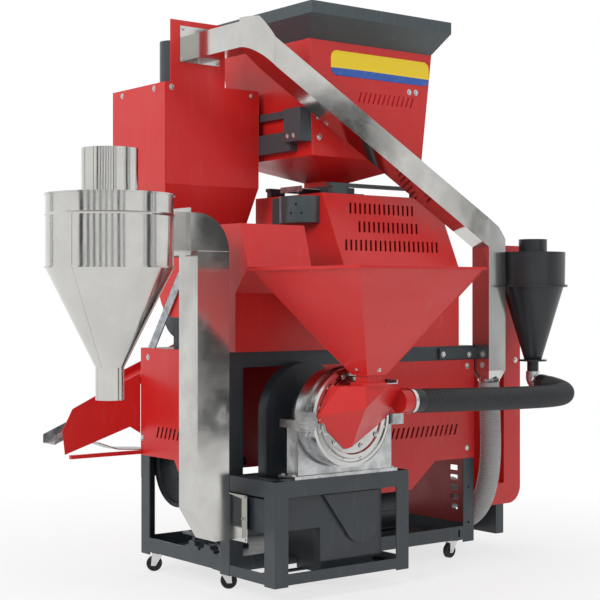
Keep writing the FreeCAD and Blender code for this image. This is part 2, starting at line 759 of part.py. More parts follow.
def precleaner():
    """Dark suction channel bolted along the hopper's left face."""
    right = HOPPER_LEFT
    left = BIN_RIGHT + 3
    duct = box(left, right, HOPPER_FRONT + 80, HOPPER_BACK - 60, 1368, 1431)
    rail = box(left + 6, right, HOPPER_FRONT, HOPPER_BACK, 1478, 1502)
    end = box(BIN_RIGHT - 16, right, HOPPER_FRONT, HOPPER_FRONT + 90, 1394, 1502)
    outlet, fold, top = hopper_rects()
    return union([duct, rail, end]).cut(frustum(fold, HOPPER_FOLD, top, HOPPER_TOP))


# ================================================================ bran bin and elevator duct
def bran_bin():
    body = (0, BIN_RIGHT, BIN_FRONT, BIN_BACK)
    spout = (BIN_OUTLET_LEFT, BIN_OUTLET_RIGHT, BIN_FRONT + 50, BIN_BACK - 110)
    lower = frustum(spout, BIN_OUTLET_Z, body, BIN_FOLD)
    upper = box(*body, BIN_FOLD, BIN_TOP)
    upright = box(UPRIGHT_LEFT, UPRIGHT_RIGHT, BIN_FRONT + 5, BIN_FRONT + 5 + SHEET,
                  BIN_TOP, UPRIGHT_TOP)
    drum_radius = 45.0
    drum = rod(at(UPRIGHT_LEFT + drum_radius - 3, BIN_FRONT + 5 + SHEET + drum_radius, BIN_TOP), Z,
               drum_radius, UPRIGHT_TOP - BIN_TOP - 66)
    rooms = [frustum(grow(spout, -SHEET), BIN_OUTLET_Z + SHEET, grow(body, -SHEET), BIN_FOLD),
             box(*grow(body, -SHEET), BIN_FOLD, BIN_TOP - SHEET)]
    return Part.makeCompound([cut_all(union([lower, upper]), rooms), upright, drum])


def bin_flange():
    return box(FLANGE_LEFT, FLANGE_RIGHT, BIN_FRONT + 5 - SHEET, BIN_FRONT + 5,
               FLANGE_LOW, FLANGE_HIGH)


def upright_rectangle(x, y, width, z0, z1):
    half = width / 2
    corners = [at(x, y - half, z0), at(x, y + half, z0), at(x, y + half, z1), at(x, y - half, z1)]
    return Part.makePolygon(corners + corners[:1])


def elevator_duct():
    """Square duct in three lengths: arm with its elbow, long slope, and drop with its spigot."""
    half = DUCT / 2
    left = ARM_X - half
    right = ARM_X + half
    bend_back = BEND_Y + half
    arm = box(left, right, bend_back, BIN_FRONT + 5 - SHEET, ARM_Z - half, ARM_Z + half)
    slope_low = SLOPE_START - SLOPE_START_DEPTH
    crown = ARM_Z + half + ELBOW_RISE
    outline = [(left, ARM_Z - half), (left, crown), (left + ELBOW_CROWN, crown),
               (right, SLOPE_START), (right, slope_low)]
    sweep = rod(at(right, bend_back, slope_low), Z, DUCT, 2 * DUCT)
    elbow = front_profile(outline, BEND_Y - half, bend_back).common(sweep)
    inner = DOWN_X - half
    outer = DOWN_X + half
    end_low = SLOPE_END - SLOPE_END_DEPTH
    slope = Part.makeLoft([upright_rectangle(right, BEND_Y, DUCT, slope_low, SLOPE_START),
                           upright_rectangle(inner, DUCT_PLANE, DUCT, end_low, SLOPE_END)],
                          True, True)
    outline = [(inner, DOWN_TAPER), (inner, SLOPE_END), (outer - 31, SLOPE_END - 30),
               (outer, SLOPE_END - 70), (outer, DOWN_TAPER)]
    down = front_profile(outline, DUCT_PLANE - half, DUCT_PLANE + half)
    neck = 12.0
    taper = frustum(grow(square(DOWN_X, DUCT_PLANE, DUCT), -neck), DOWN_END + neck,
                    square(DOWN_X, DUCT_PLANE, DUCT), DOWN_TAPER)
    spigot = rod(at(DOWN_X, DUCT_PLANE, DOWN_END), Z, SPIGOT_RADIUS - CLAMP_WALL, 2 * neck)
    room = half - STAINLESS
    width = DUCT - 2 * STAINLESS
    lift = 2 * STAINLESS
    arm_room = box(ARM_X - room, ARM_X + room, bend_back + lift, BIN_FRONT - lift, ARM_Z - room,
                   ARM_Z + room)
    slope_room = Part.makeLoft([upright_rectangle(right + lift, BEND_Y, width, slope_low + lift,
                                                  SLOPE_START - 2 * lift),
                                upright_rectangle(inner - lift, DUCT_PLANE, width,
                                                  end_low + 2 * lift, SLOPE_END - lift)],
                               True, True)
    down_room = box(inner + STAINLESS, outer - STAINLESS, DUCT_PLANE - room, DUCT_PLANE + room,
                    DOWN_TAPER, end_low)
    lengths = [union([arm, elbow]).cut(arm_room), slope.cut(slope_room),
               union([down, taper, spigot]).cut(down_room)]
    return Part.makeCompound(lengths)


# ================================================================ feed hopper and claw grinder
def feed_rects():
    outlet = square(FEED_X, FEED_Y, FEED_OUTLET)
    mouth = (FEED_LEFT, FEED_RIGHT, FEED_FRONT, FEED_BACK)
    return outlet, mouth


def feed_hopper():
    outlet, mouth = feed_rects()
    body = funnel(outlet, FEED_BOTTOM, grow(mouth, -FEED_LIP_OUT), FEED_RIM, SHEET)
    lip = collar_box(mouth, FEED_RIM - FEED_LIP / 2, FEED_RIM + FEED_LIP / 2, FEED_LIP_OUT + SHEET)
    return union([body, lip])


def feed_neck():
    """Short cone and square neck that bolt the hopper to the grinder's feed cover."""
    outlet, mouth = feed_rects()
    neck = square(FEED_X, FEED_Y, NECK_WIDTH)
    cone = funnel(grow(neck, 10), NECK_CONE_BOTTOM, outlet, FEED_BOTTOM, SHEET)
    foot_z = NECK_CONE_BOTTOM - SHEET
    sleeve = collar_box(neck, FEED_GATE_Z + GATE_THICK + 2 * MOVING_GAP, foot_z, SHEET)
    shoulder = box(*grow(neck, 10), foot_z, NECK_CONE_BOTTOM).cut(
        box(*grow(neck, -SHEET), foot_z, NECK_CONE_BOTTOM))
    flange = box(*grow(neck, 11), FEED_GATE_Z + GATE_THICK + 2 * MOVING_GAP,
                 FEED_GATE_Z + GATE_THICK + 2 * MOVING_GAP + GATE_THICK)
    flange = flange.cut(box(*grow(neck, -SHEET), 0, FEED_RIM))
    seat = grow(neck, 11)
    guides = box(*seat, FEED_GATE_Z, FEED_GATE_Z + GATE_THICK + 2 * MOVING_GAP)
    guides = guides.cut(box(neck[0] - MOVING_GAP, seat[1] + CUT_OVER, neck[2] - MOVING_GAP,
                            neck[3] + MOVING_GAP, FEED_GATE_Z - CUT_OVER, NECK_CONE_BOTTOM))
    return union([cone, shoulder, sleeve, flange, guides])


FEED_GATE_Z = NECK_BOTTOM + 6.0


def feed_gate():
    half = NECK_WIDTH / 2
    low = FEED_GATE_Z + MOVING_GAP
    plate = box(FEED_X - half, FEED_X + half + 62, FEED_Y - half, FEED_Y + half, low, low + GATE_THICK)
    tab = box(FEED_X + half + 58, FEED_X + half + 62, FEED_Y - half, FEED_Y + half,
              low, low + GATE_THICK + 9)
    return union([plate, tab])


def grinder_body():
    """Cast drum on a squarish pedestal with flared feet; open in front, bored for the shaft."""
    axis_front = at(GRINDER_X, DRUM_FRONT, GRINDER_Z)
    drum = rod(axis_front, Y, DRUM_RADIUS, RING_BACK - DRUM_FRONT)
    hub = rod(axis_front, Y, HUB_RADIUS, DRUM_BACK - DRUM_FRONT)
    outline = [(PEDESTAL_LEFT, STAND_TOP), (PEDESTAL_RIGHT, STAND_TOP),
               (PEDESTAL_RIGHT, PEDESTAL_SHOULDER), (PEDESTAL_LEFT, PEDESTAL_SHOULDER)]
    pedestal = front_profile(outline, PEDESTAL_FRONT, PEDESTAL_BACK)
    foot = box(PEDESTAL_LEFT - PEDESTAL_TOE, PEDESTAL_RIGHT + PEDESTAL_TOE, PEDESTAL_FRONT - 8,
               PEDESTAL_BACK + PEDESTAL_TOE, STAND_TOP, STAND_TOP + PEDESTAL_FOOT)
    spine = box(GRINDER_X - 70, GRINDER_X + 70, PEDESTAL_BACK, DRUM_BACK, STAND_TOP, GRINDER_Z)
    rib = rod(axis_front + Y * RIB_STEP, Y, DRUM_RADIUS + RIB_HEIGHT, RIB_WIDTH)
    body = union([drum, hub, pedestal, foot, spine, rib])
    chamber = rod(axis_front - Y * CUT_OVER, Y, DRUM_RADIUS - DRUM_WALL,
                  CHAMBER_DEPTH + CUT_OVER)
    bore = rod(axis_front, Y, ROTOR_SHAFT + FIT, DRUM_BACK - DRUM_FRONT)
    return cut_all(body, [chamber, bore])


RING_BACK = -190.0
HUB_RADIUS = 96.0
RIB_STEP = 22.0
RIB_HEIGHT = 5.0
RIB_WIDTH = 7.0
CHAMBER_DEPTH = 64.0


def grinder_door():
    """Polished round door with raised rings and an opening behind the feed cover."""
    rings = [(DRUM_RADIUS, 0), (DRUM_RADIUS, 8), (DRUM_RADIUS - 6, 13), (DRUM_RADIUS - 14, 13),
             (DRUM_RADIUS - 17, 8), (DRUM_RADIUS - 24, 8), (DRUM_RADIUS - 28, DOOR_THICK),
             (DRUM_RADIUS - 38, DOOR_THICK), (DRUM_RADIUS - 42, 11), (FEED_EYE, 11), (FEED_EYE, 0)]
    return revolve(rings, at(GRINDER_X, DRUM_FRONT, GRINDER_Z), -Y, X)


FEED_EYE = 42.0


def grinder_cover():
    """Faceted red feed cover with the suction collar on its right."""
    back = DRUM_FRONT - 11.0
    shape = box(112, COLLAR_X, COVER_FRONT, back, COVER_LOW, NECK_BOTTOM + 3)
    apex = at(215, COVER_FRONT, 567)
    shape = slice_off(shape, apex, at(-91, -103, 0))
    shape = slice_off(shape, at(112, back, 543), at(-80, 0, 43))
    shape = slice_off(shape, apex, at(-94, -132, -96))
    shape = slice_off(shape, at(155, back, 495), at(-55, 0, -63))
    shape = slice_off(shape, apex, at(66, -153, -93))
    shape = slice_off(shape, at(349, back, 512), at(34, 0, -66))
    shape = slice_off(shape, at(247, back, COVER_LOW), at(72, 0, -102))
    shape = slice_off(shape, at(FEED_X + NECK_WIDTH, back, NECK_BOTTOM + 3), at(12, 0, 100))
    collar = rod(at(COLLAR_X - 30, COLLAR_Y, COLLAR_Z), X, SUCTION_RADIUS - CLAMP_WALL,
                 30 + COLLAR_LENGTH)
    seat = square(FEED_X, FEED_Y, NECK_WIDTH)
    flange = box(*grow(seat, 11), NECK_BOTTOM + 3, FEED_GATE_Z)
    bore = rod(at(COLLAR_X - 8, COLLAR_Y, COLLAR_Z), X, SUCTION_RADIUS - 3 * CLAMP_WALL, 60)
    drop = box(*grow(seat, -4 * SHEET), COLLAR_Z + 20, FEED_GATE_Z + CUT_OVER)
    eye = rod(at(GRINDER_X, back - 14, GRINDER_Z), Y, FEED_EYE, 2 * CUT_OVER + 14)
    return cut_all(union([shape, collar, flange]), [bore, drop, eye, grinder_door()])


def grinder_clamps():
    """Hinge bracket on the right and the clamp block that the knob screws through."""
    front = DRUM_FRONT - 22.0
    block = box(KNOB_X - 18, KNOB_X + 34, front, front + CLAMP_DEPTH, KNOB_Z - 18, KNOB_Z + 36)
    block = block.cut(rod(at(GRINDER_X, front - CUT_OVER, GRINDER_Z), Y, DRUM_RADIUS + 0.5,
                          CLAMP_DEPTH + 2 * CUT_OVER))
    arm = box(KNOB_X - 14, KNOB_X + 14, front + CLAMP_DEPTH, PEDESTAL_FRONT + 30,
              KNOB_Z - 12, KNOB_Z + 12)
    foot = box(KNOB_X - 14, PEDESTAL_LEFT, PEDESTAL_FRONT + 10, PEDESTAL_FRONT + 30,
               KNOB_Z - 12, KNOB_Z + 12)
    block = union([block, arm, foot])
    block = block.cut(rod(at(KNOB_X, front - CUT_OVER, KNOB_Z), Y, KNOB_STUD + FIT,
                          CLAMP_DEPTH + 2 * CUT_OVER))
    hinge_x = GRINDER_X + DRUM_RADIUS + 1
    hinge = box(hinge_x, hinge_x + 44, front, front + 62, KNOB_Z - 16, KNOB_Z + 16)
    lug = box(hinge_x + 20, hinge_x + 44, front + 62, PEDESTAL_FRONT, KNOB_Z - 16, KNOB_Z + 8)
    rib = rod(at(GRINDER_X, DRUM_FRONT + RIB_STEP, GRINDER_Z), Y, DRUM_RADIUS + RIB_HEIGHT, RIB_WIDTH)
    hinge = union([hinge, lug]).cut(rib)
    return Part.makeCompound([block, hinge])


def grinder_knob():
    front = DRUM_FRONT - 22.0 - MOVING_GAP
    hub = rod(at(KNOB_X, front - 16, KNOB_Z), Y, KNOB_RADIUS, 16)
    for n in range(8):
        angle = n * math.pi / 4
        place = at(KNOB_X + KNOB_RADIUS * math.cos(angle), front - 20, KNOB_Z + KNOB_RADIUS * math.sin(angle))
        hub = hub.cut(rod(place, Y, 5.0, 24))
    cap = rod(at(KNOB_X, front - 21, KNOB_Z), Y, KNOB_RADIUS * 0.45, 6)
    stud = rod(at(KNOB_X, front - 2, KNOB_Z), Y, KNOB_STUD, CLAMP_DEPTH)
    return union([hub, cap, stud])


def grinder_rotor():
    """Claw disc in the drum, its shaft through the casting and the belt pulley behind."""
    disc_front = DRUM_FRONT + 30
    centre = at(GRINDER_X, disc_front, GRINDER_Z)
    disc = rod(centre, Y, ROTOR_RADIUS, ROTOR_THICK)
    shaft = rod(centre, Y, ROTOR_SHAFT, GUARD_BACK - SHEET - MOVING_GAP - 4 - disc_front)
    claws = []
    for ring, count in ((ROTOR_RADIUS - 16, 10), (ROTOR_RADIUS - 48, 6)):
        for n in range(count):
            angle = 2 * math.pi * n / count
            spot = centre + X * (ring * math.cos(angle)) + Z * (ring * math.sin(angle))
            claws.append(rod(spot - Y * ROTOR_PIN_LENGTH, Y, ROTOR_PIN_RADIUS, ROTOR_PIN_LENGTH + 1))
    groove = 7.0
    width = PULLEY_WIDTH
    profile = [(ROTOR_SHAFT - 1, 0), (PULLEY_RADIUS, 0), (PULLEY_RADIUS, 3),
               (PULLEY_RADIUS - groove, width / 2), (PULLEY_RADIUS, width - 3),
               (PULLEY_RADIUS, width), (ROTOR_SHAFT - 1, width)]
    pulley = revolve(profile, at(GRINDER_X, GUARD_FRONT + 10, GRINDER_Z), Y, X)
    return union([disc, shaft, pulley] + claws)


def grinder_guard():
    """Round-topped belt guard behind the grinder."""
    def outline(radius, low):
        straight = [at(GRINDER_X - radius, 0, GRINDER_Z), at(GRINDER_X - radius, 0, low),
                    at(GRINDER_X + radius, 0, low), at(GRINDER_X + radius, 0, GRINDER_Z)]
        top = Part.Arc(straight[3], at(GRINDER_X, 0, GRINDER_Z + radius), straight[0]).toShape()
        edges = [Part.LineSegment(a, b).toShape() for a, b in zip(straight, straight[1:])]
        return Part.Face(Part.Wire(edges + [top]))
    solid = outline(GUARD_RADIUS, STAND_TOP).extrude(Y * (GUARD_BACK - GUARD_FRONT))
    hollow = outline(GUARD_RADIUS - SHEET, STAND_TOP - CUT_OVER).extrude(
        Y * (GUARD_BACK - GUARD_FRONT - 2 * SHEET))
    solid.translate(Y * GUARD_FRONT)
    hollow.translate(Y * (GUARD_FRONT + SHEET))
    eye = rod(at(GRINDER_X, GUARD_FRONT - CUT_OVER, GRINDER_Z), Y, ROTOR_SHAFT + 3, 2 * CUT_OVER + SHEET)
    return cut_all(solid, [hollow, eye])


def grinder_stand():
    """Angle-iron stand in front of the main frame."""
    back = -SHEET
    solids = []
    for x, u in ((0.0, X), (STAND_LENGTH, -X)):
        solids.append(angle_bar(at(x, -STAND_DEPTH, STAND_BOTTOM), Z, STAND_TOP - STAND_BOTTOM, u, Y,
                                LEG_FLANGE, LEG_THICK))
    solids.append(angle_bar(at(STAND_LENGTH, back, STAND_BOTTOM), Z, STAND_TOP - STAND_BOTTOM, -X, -Y,
                            LEG_FLANGE, LEG_THICK))
    run_x = STAND_LENGTH - 2 * LEG_FLANGE
    front_y = -STAND_DEPTH
    side_run = STAND_DEPTH + back - 2 * LEG_FLANGE
    for z, up, flange in ((STAND_TOP, -Z, STAND_RAIL), (STAND_LOW_BOTTOM, Z, STAND_LOW_RAIL)):
        solids.append(angle_bar(at(LEG_FLANGE, front_y, z), X, run_x, Y, up, flange, LEG_THICK))
        solids.append(angle_bar(at(0, front_y + LEG_FLANGE, z), Y, side_run + LEG_FLANGE, X, up,
                                flange, LEG_THICK))
        solids.append(angle_bar(at(STAND_LENGTH, front_y + LEG_FLANGE, z), Y, side_run, -X, up,
                                flange, LEG_THICK))
    bar_z = STAND_LOW_BOTTOM + LEG_THICK
    for y in STAND_BARS_Y:
        solids.append(box(LEG_THICK, STAND_LENGTH - LEG_THICK, y, y + STAND_BAR, bar_z,
                          bar_z + LEG_THICK))
    back_run = STAND_LENGTH - STAND_RAIL - LEG_FLANGE
    solids.append(angle_bar(at(STAND_RAIL, back, STAND_TOP), X, back_run, -Y, -Z, STAND_RAIL, LEG_THICK))
    return Part.makeCompound(solids)


# ================================================================ bran fan, riser duct and cyclone
def fan_casing():
    """Box casing with a raised round-bottomed relief in front and a duct that leaves to the left."""
    relief_front = FAN_FRONT - FAN_RELIEF
    relief = rod(at(FAN_X, relief_front, FAN_Z), Y, FAN_RADIUS, FAN_RELIEF + 1)
    lean = math.radians(30)
    tangent = (FAN_X - FAN_RADIUS * math.cos(lean), FAN_Z - FAN_RADIUS * math.sin(lean))
    upper = [tangent, (FAN_LEFT + 6, FAN_TOP), (FAN_X + FAN_RADIUS, FAN_TOP),
             (FAN_X + FAN_RADIUS, FAN_Z)]
    relief = union([relief, front_profile(upper, relief_front, FAN_FRONT + 1)])
    shelf = RISER_PORT_LOW + 24
    edge = LEG_THICK + 1
    high = box(edge, FAN_RIGHT, FAN_FRONT, FAN_BACK, shelf, FAN_TOP)
    low = box(FAN_LEFT, FAN_RIGHT, FAN_FRONT, FAN_BACK, FAN_LOW, shelf)
    duct = box(RISER_FLANGE_X + SHEET, FAN_LEFT, RISER_FRONT + 4, -2 * SHEET,
               RISER_PORT_LOW + 4, RISER_PORT_HIGH - 4)
    flange = box(RISER_FLANGE_X, RISER_FLANGE_X + SHEET, RISER_FRONT - RISER_FLANGE,
                 RISER_BACK + RISER_FLANGE, RISER_PORT_LOW - RISER_FLANGE,
                 RISER_PORT_HIGH + RISER_FLANGE)
    feet = box(FAN_LEFT + 20, FAN_RIGHT - 20, FAN_FRONT + 20, FAN_BACK - 20,
               STAND_LOW_BOTTOM + 2 * LEG_THICK, FAN_LOW)
    casing = union([relief, high, low, duct, flange, feet])
    chamber = box(FAN_LEFT + SHEET, FAN_RIGHT - SHEET, FAN_FRONT + SHEET, FAN_BACK - SHEET,
                  FAN_LOW + SHEET, FAN_TOP - SHEET)
    pocket = box(edge + SHEET, FAN_LEFT + 2 * SHEET, FAN_FRONT + SHEET, FAN_BACK - SHEET,
                 shelf + SHEET, FAN_TOP - SHEET)
    passage = box(RISER_FLANGE_X + 2 * SHEET, edge + 2 * SHEET, RISER_FRONT + 6, -2 * SHEET - 4,
                  shelf + SHEET, RISER_PORT_HIGH - 6)
    bore = rod(at(FAN_X, FAN_BACK - 2 * CUT_OVER, FAN_Z), Y, FAN_SHAFT + FIT, 4 * CUT_OVER)
    return cut_all(casing, [chamber, pocket, passage, bore])


FAN_SHAFT = 12.0


def fan_impeller():
    """Radial impeller on its shaft; the shaft ends behind the casing."""
    start = at(FAN_X, FAN_FRONT + 2 * SHEET + 8, FAN_Z)
    tip = FAN_CHAMBER - 8
    plate = rod(start, Y, tip, 3)
    width = FAN_BACK - FAN_FRONT - 4 * SHEET - 50
    blades = []
    for n in range(6):
        blade = box(FAN_SHAFT + 6, tip, -1.5, 1.5, 0, width)
        turn = FreeCAD.Rotation(X, 270).multiply(FreeCAD.Rotation(Z, n * 60))
        blades.append(placed(blade, FreeCAD.Placement(start, turn)))
    hub = rod(start, Y, FAN_SHAFT + 8, width)
    shaft = rod(start, Y, FAN_SHAFT, FAN_BACK - start.y + 22)
    return union([plate, hub, shaft] + blades)


def riser_duct():
    """Stainless duct: flanged inlet, mitred lower elbow, upright and quarter-round top elbow."""
    depth = RISER_BACK - RISER_FRONT
    width = RISER_RIGHT - RISER_LEFT
    low = RISER_PORT_LOW
    lower = [(RISER_FLANGE_X - STAINLESS, low), (RISER_FLANGE_X - STAINLESS, RISER_PORT_HIGH),
             (RISER_RIGHT, RISER_PORT_HIGH + 24), (RISER_RIGHT, RISER_TOP), (RISER_LEFT, RISER_TOP),
             (RISER_LEFT, low + 92), (RISER_LEFT + 58, low)]
    upright = front_profile(lower, RISER_FRONT, RISER_BACK)
    bend = rod(at(RISER_LEFT, RISER_FRONT, RISER_TOP), Y, width, depth)
    bend = bend.common(box(RISER_LEFT, RISER_RIGHT, RISER_FRONT, RISER_BACK,
                           RISER_TOP, RISER_TOP + width))
    stub = box(RISER_FLANGE_TOP_X + STAINLESS, RISER_LEFT, RISER_FRONT, RISER_BACK,
               RISER_TOP, RISER_TOP + width)
    rim = RISER_FLANGE
    top_flange = box(RISER_FLANGE_TOP_X, RISER_FLANGE_TOP_X + STAINLESS, RISER_FRONT - rim,
                     RISER_BACK + rim, RISER_TOP - rim, RISER_TOP + width + rim)
    low_flange = box(RISER_FLANGE_X - STAINLESS, RISER_FLANGE_X, RISER_FRONT - rim,
                     RISER_BACK + rim, low - rim, RISER_PORT_HIGH + rim)
    body = union([upright, bend, stub, top_flange, low_flange])
    room = box(RISER_LEFT + STAINLESS, RISER_RIGHT - STAINLESS, RISER_FRONT + STAINLESS,
               RISER_BACK - STAINLESS, low + 92, RISER_TOP - STAINLESS)
    return body.cut(room)


def cyclone_body():
    """Spun stainless drum, cone and outlet, with the tangential inlet at the back."""
    centre = at(CYCLONE_X, CYCLONE_Y, 0)
    bead = CYCLONE_BEAD
    r = CYCLONE_RADIUS
    lip = r + bead
    outside = [(FINDER_RADIUS, CYCLONE_DRUM_TOP), (lip, CYCLONE_DRUM_TOP),
               (lip, CYCLONE_DRUM_TOP - bead), (r, CYCLONE_DRUM_TOP - bead),
               (r, CYCLONE_BEAD_Z + bead), (lip, CYCLONE_BEAD_Z), (r, CYCLONE_BEAD_Z - bead),
               (r, CYCLONE_DRUM_LOW + bead), (lip, CYCLONE_DRUM_LOW + bead),
               (lip, CYCLONE_DRUM_LOW), (r, CYCLONE_DRUM_LOW), (CYCLONE_OUTLET, CYCLONE_CONE_LOW),
               (CYCLONE_OUTLET, CYCLONE_OUTLET_LOW)]
    wall = STAINLESS
    inside = [(CYCLONE_OUTLET - wall, CYCLONE_OUTLET_LOW), (CYCLONE_OUTLET - wall, CYCLONE_CONE_LOW),
              (r - wall, CYCLONE_DRUM_LOW), (r - wall, CYCLONE_DRUM_TOP - wall),
              (FINDER_RADIUS, CYCLONE_DRUM_TOP - wall)]
    shell = revolve(outside + inside, centre, Z, X)
    width = RISER_RIGHT - RISER_LEFT
    inlet = box(CYCLONE_X, RISER_FLANGE_TOP_X, RISER_FRONT, RISER_BACK, RISER_TOP, RISER_TOP + width)
    inlet = inlet.cut(rod(at(CYCLONE_X, CYCLONE_Y, RISER_TOP), Z, r - wall, width))
    return union([shell, inlet])


def cyclone_stack():
    """Stack that stands on the lid, slipped over the finder tube that dips into the drum."""
    lid = at(CYCLONE_X, CYCLONE_Y, CYCLONE_DRUM_TOP)
    stack = pipe(lid, Z, CYCLONE_STACK, CYCLONE_STACK - STAINLESS,
                 CYCLONE_STACK_TOP - CYCLONE_DRUM_TOP)
    finder = pipe(lid - Z * FINDER_DIP, Z, FINDER_RADIUS, FINDER_RADIUS - STAINLESS,
                  FINDER_DIP + FINDER_LAP)
    return union([stack, finder])


# ================================================================ black dust cyclone
def black_cyclone():
    """Moulded dust cyclone with its clamp ring, top stack, side inlet and wall bracket."""
    centre = at(BLACK_X, BLACK_Y, 0)
    r = BLACK_RADIUS
    ring = 9.0
    wall = BLACK_WALL
    taper = 5.0
    outside = [(BLACK_STACK, BLACK_STACK_TOP), (BLACK_STACK, BLACK_DRUM_TOP), (r + 2, BLACK_DRUM_TOP),
               (r, BLACK_DRUM_LOW + 4), (r + ring, BLACK_DRUM_LOW + 4),
               (r + ring, BLACK_DRUM_LOW - 4), (r - taper, BLACK_DRUM_LOW - 4),
               (BLACK_CONE_RADIUS, BLACK_CONE_LOW), (BLACK_CONE_RADIUS + 18, BLACK_CONE_LOW),
               (BLACK_CONE_RADIUS + 18, BLACK_CONE_LOW - 6), (BLACK_OUTLET, BLACK_CONE_LOW - 6),
               (BLACK_OUTLET, BLACK_OUTLET_LOW)]
    inside = [(BLACK_OUTLET - wall, BLACK_OUTLET_LOW), (BLACK_OUTLET - wall, BLACK_CONE_LOW),
              (BLACK_CONE_RADIUS - wall, BLACK_CONE_LOW + wall), (r - taper - wall, BLACK_DRUM_LOW),
              (r - wall, BLACK_DRUM_TOP - wall), (BLACK_STACK - wall, BLACK_DRUM_TOP - wall),
              (BLACK_STACK - wall, BLACK_STACK_TOP)]
    shell = revolve(outside + inside, centre, Z, X)
    inlet = box(BLACK_X - r, BLACK_X - 20, BLACK_Y + 34, BLACK_Y + 100, BLACK_DRUM_TOP - 60,
                BLACK_DRUM_TOP + 34)
    inlet = inlet.cut(rod(at(BLACK_X, BLACK_Y, 0), Z, r - wall, BLACK_STACK_TOP))
    bracket = box(BLACK_X - 30, BLACK_X + 30, BLACK_Y, BELT_FRONT, BLACK_DRUM_LOW + 30,
                  BLACK_DRUM_LOW + 70)
    bracket = bracket.cut(rod(at(BLACK_X, BLACK_Y, 0), Z, r - wall, BLACK_STACK_TOP))
    return union([shell, inlet, bracket])


def black_elbow():
    """Bend from the cyclone's outlet to the suction hose's mouth."""
    radius = BLACK_OUTLET + 4
    turn = radius + 1
    spigot_length = 8.0
    turn_z = ELBOW_Z + turn
    drop = rod(at(BLACK_X, BLACK_Y, turn_z), Z, radius, BLACK_OUTLET_LOW - turn_z)
    section = Part.Face(Part.Wire([Part.Circle(at(BLACK_X, BLACK_Y, turn_z), Z, radius).toShape()]))
    bend = section.revolve(at(BLACK_X, BLACK_Y - turn, turn_z), -X, 90)
    flare_length = ELBOW_REACH - spigot_length - turn
    mouth = Part.makeCone(radius, SUCTION_RADIUS - CLAMP_WALL, flare_length,
                          at(BLACK_X, BLACK_Y - turn, ELBOW_Z), -Y)
    spigot = rod(at(BLACK_X, BLACK_Y - ELBOW_REACH + spigot_length, ELBOW_Z), -Y,
                 SUCTION_RADIUS - CLAMP_WALL, spigot_length)
    return drop.fuse([bend, mouth, spigot])


# ================================================================ right hand guard and blower
def belt_guard():
    """Red belt guard: deep tray with rounded lower corner and a recessed field."""
    left = BELT_LEFT
    corner = BELT_CORNER
    centre = at(BELT_RIGHT - corner, 0, BELT_LOW + corner)
    points = [at(BELT_RIGHT - corner, 0, BELT_LOW), at(left, 0, BELT_LOW), at(left, 0, BELT_TOP),
              at(BELT_RIGHT, 0, BELT_TOP), at(BELT_RIGHT, 0, BELT_LOW + corner)]
    edges = [Part.LineSegment(a, b).toShape() for a, b in zip(points, points[1:])]
    lean = corner * math.sqrt(0.5)
    arc = Part.Arc(points[4], centre + at(lean, 0, -lean), points[0]).toShape()
    solid = Part.Face(Part.Wire(edges + [arc])).extrude(Y * BELT_DEPTH)
    solid.translate(Y * BELT_FRONT)
    recess = box(left + 20, BELT_RIGHT - BELT_BORDER - 8, BELT_FRONT - CUT_OVER,
                 BELT_FRONT + BELT_RECESS, BELT_LOW + BELT_BORDER, BELT_TOP - BELT_BORDER)
    room = box(left + SHEET, BELT_RIGHT - SHEET, BELT_FRONT + BELT_RECESS + SHEET,
               BELT_FRONT + BELT_DEPTH + CUT_OVER, BELT_LOW + corner, BELT_TOP - SHEET)
    return cut_all(solid, [recess, room])


def side_stand():
    """Dark foot under the belt guard, the blower's bed and the brackets back to the main frame."""
    post = box(POST_LEFT, POST_LEFT + POST_WIDTH, BELT_FRONT, BELT_FRONT + POST_DEPTH,
               LEG_BOTTOM, BELT_LOW)
    bed = box(FRAME_LENGTH, POST_LEFT, BELT_FRONT + POST_DEPTH - 8, BLOWER_Y + BLOWER_RADIUS,
              BED_TOP - 5, BED_TOP)
    tie = box(FRAME_LENGTH + SHEET, BELT_LEFT + 40, BELT_FRONT + BELT_DEPTH, BELT_FRONT + BELT_DEPTH + 30,
              FRAME_TOP - RAIL_FLANGE, FRAME_TOP - 6)
    hanger = box(FRAME_LENGTH, DOWN_X - DUCT / 2, -SHEET - 6, -SHEET, FRAME_TOP - RAIL_FLANGE + 4,
                 FRAME_TOP - 4)
    plate = box(FRAME_LENGTH - 168, FRAME_LENGTH, -SHEET - 6, -SHEET, FRAME_TOP - RAIL_FLANGE + 4,
                FRAME_TOP - 4)
    pad = box(FRAME_LENGTH - 168, FRAME_LENGTH - 40, -SHEET, 0, FRAME_TOP - RAIL_FLANGE + 8,
              FRAME_TOP - 8)
    return Part.makeCompound([union([post, bed]), tie, union([hanger, plate, pad])])


BED_TOP = 62.0
BLOWER_X = DOWN_X - BLOWER_WIDTH / 2 + 8


def side_blower():
    """Small volute blower whose inlet takes the discharge hose."""
    centre = at(BLOWER_X, BLOWER_Y, BLOWER_Z)
    volute = rod(centre, X, BLOWER_RADIUS, BLOWER_WIDTH)
    snout = box(BLOWER_X, BLOWER_X + BLOWER_WIDTH, DISCHARGE_END_Y + 24, BLOWER_Y, DISCHARGE_END_Z - 28,
                DISCHARGE_END_Z + 36)
    collar = rod(at(DOWN_X, DISCHARGE_END_Y, DISCHARGE_END_Z), Y, DISCHARGE_RADIUS - CLAMP_WALL, 26)
    motor = rod(at(BLOWER_X + BLOWER_WIDTH, BLOWER_Y, BLOWER_Z), X, 58, 96)
    foot = box(BLOWER_X + 10, BLOWER_X + BLOWER_WIDTH - 10, BLOWER_Y - 50, BLOWER_Y + 50, BED_TOP,
               BLOWER_Z - BLOWER_RADIUS + 12)
    return union([volute, snout, collar, motor, foot])


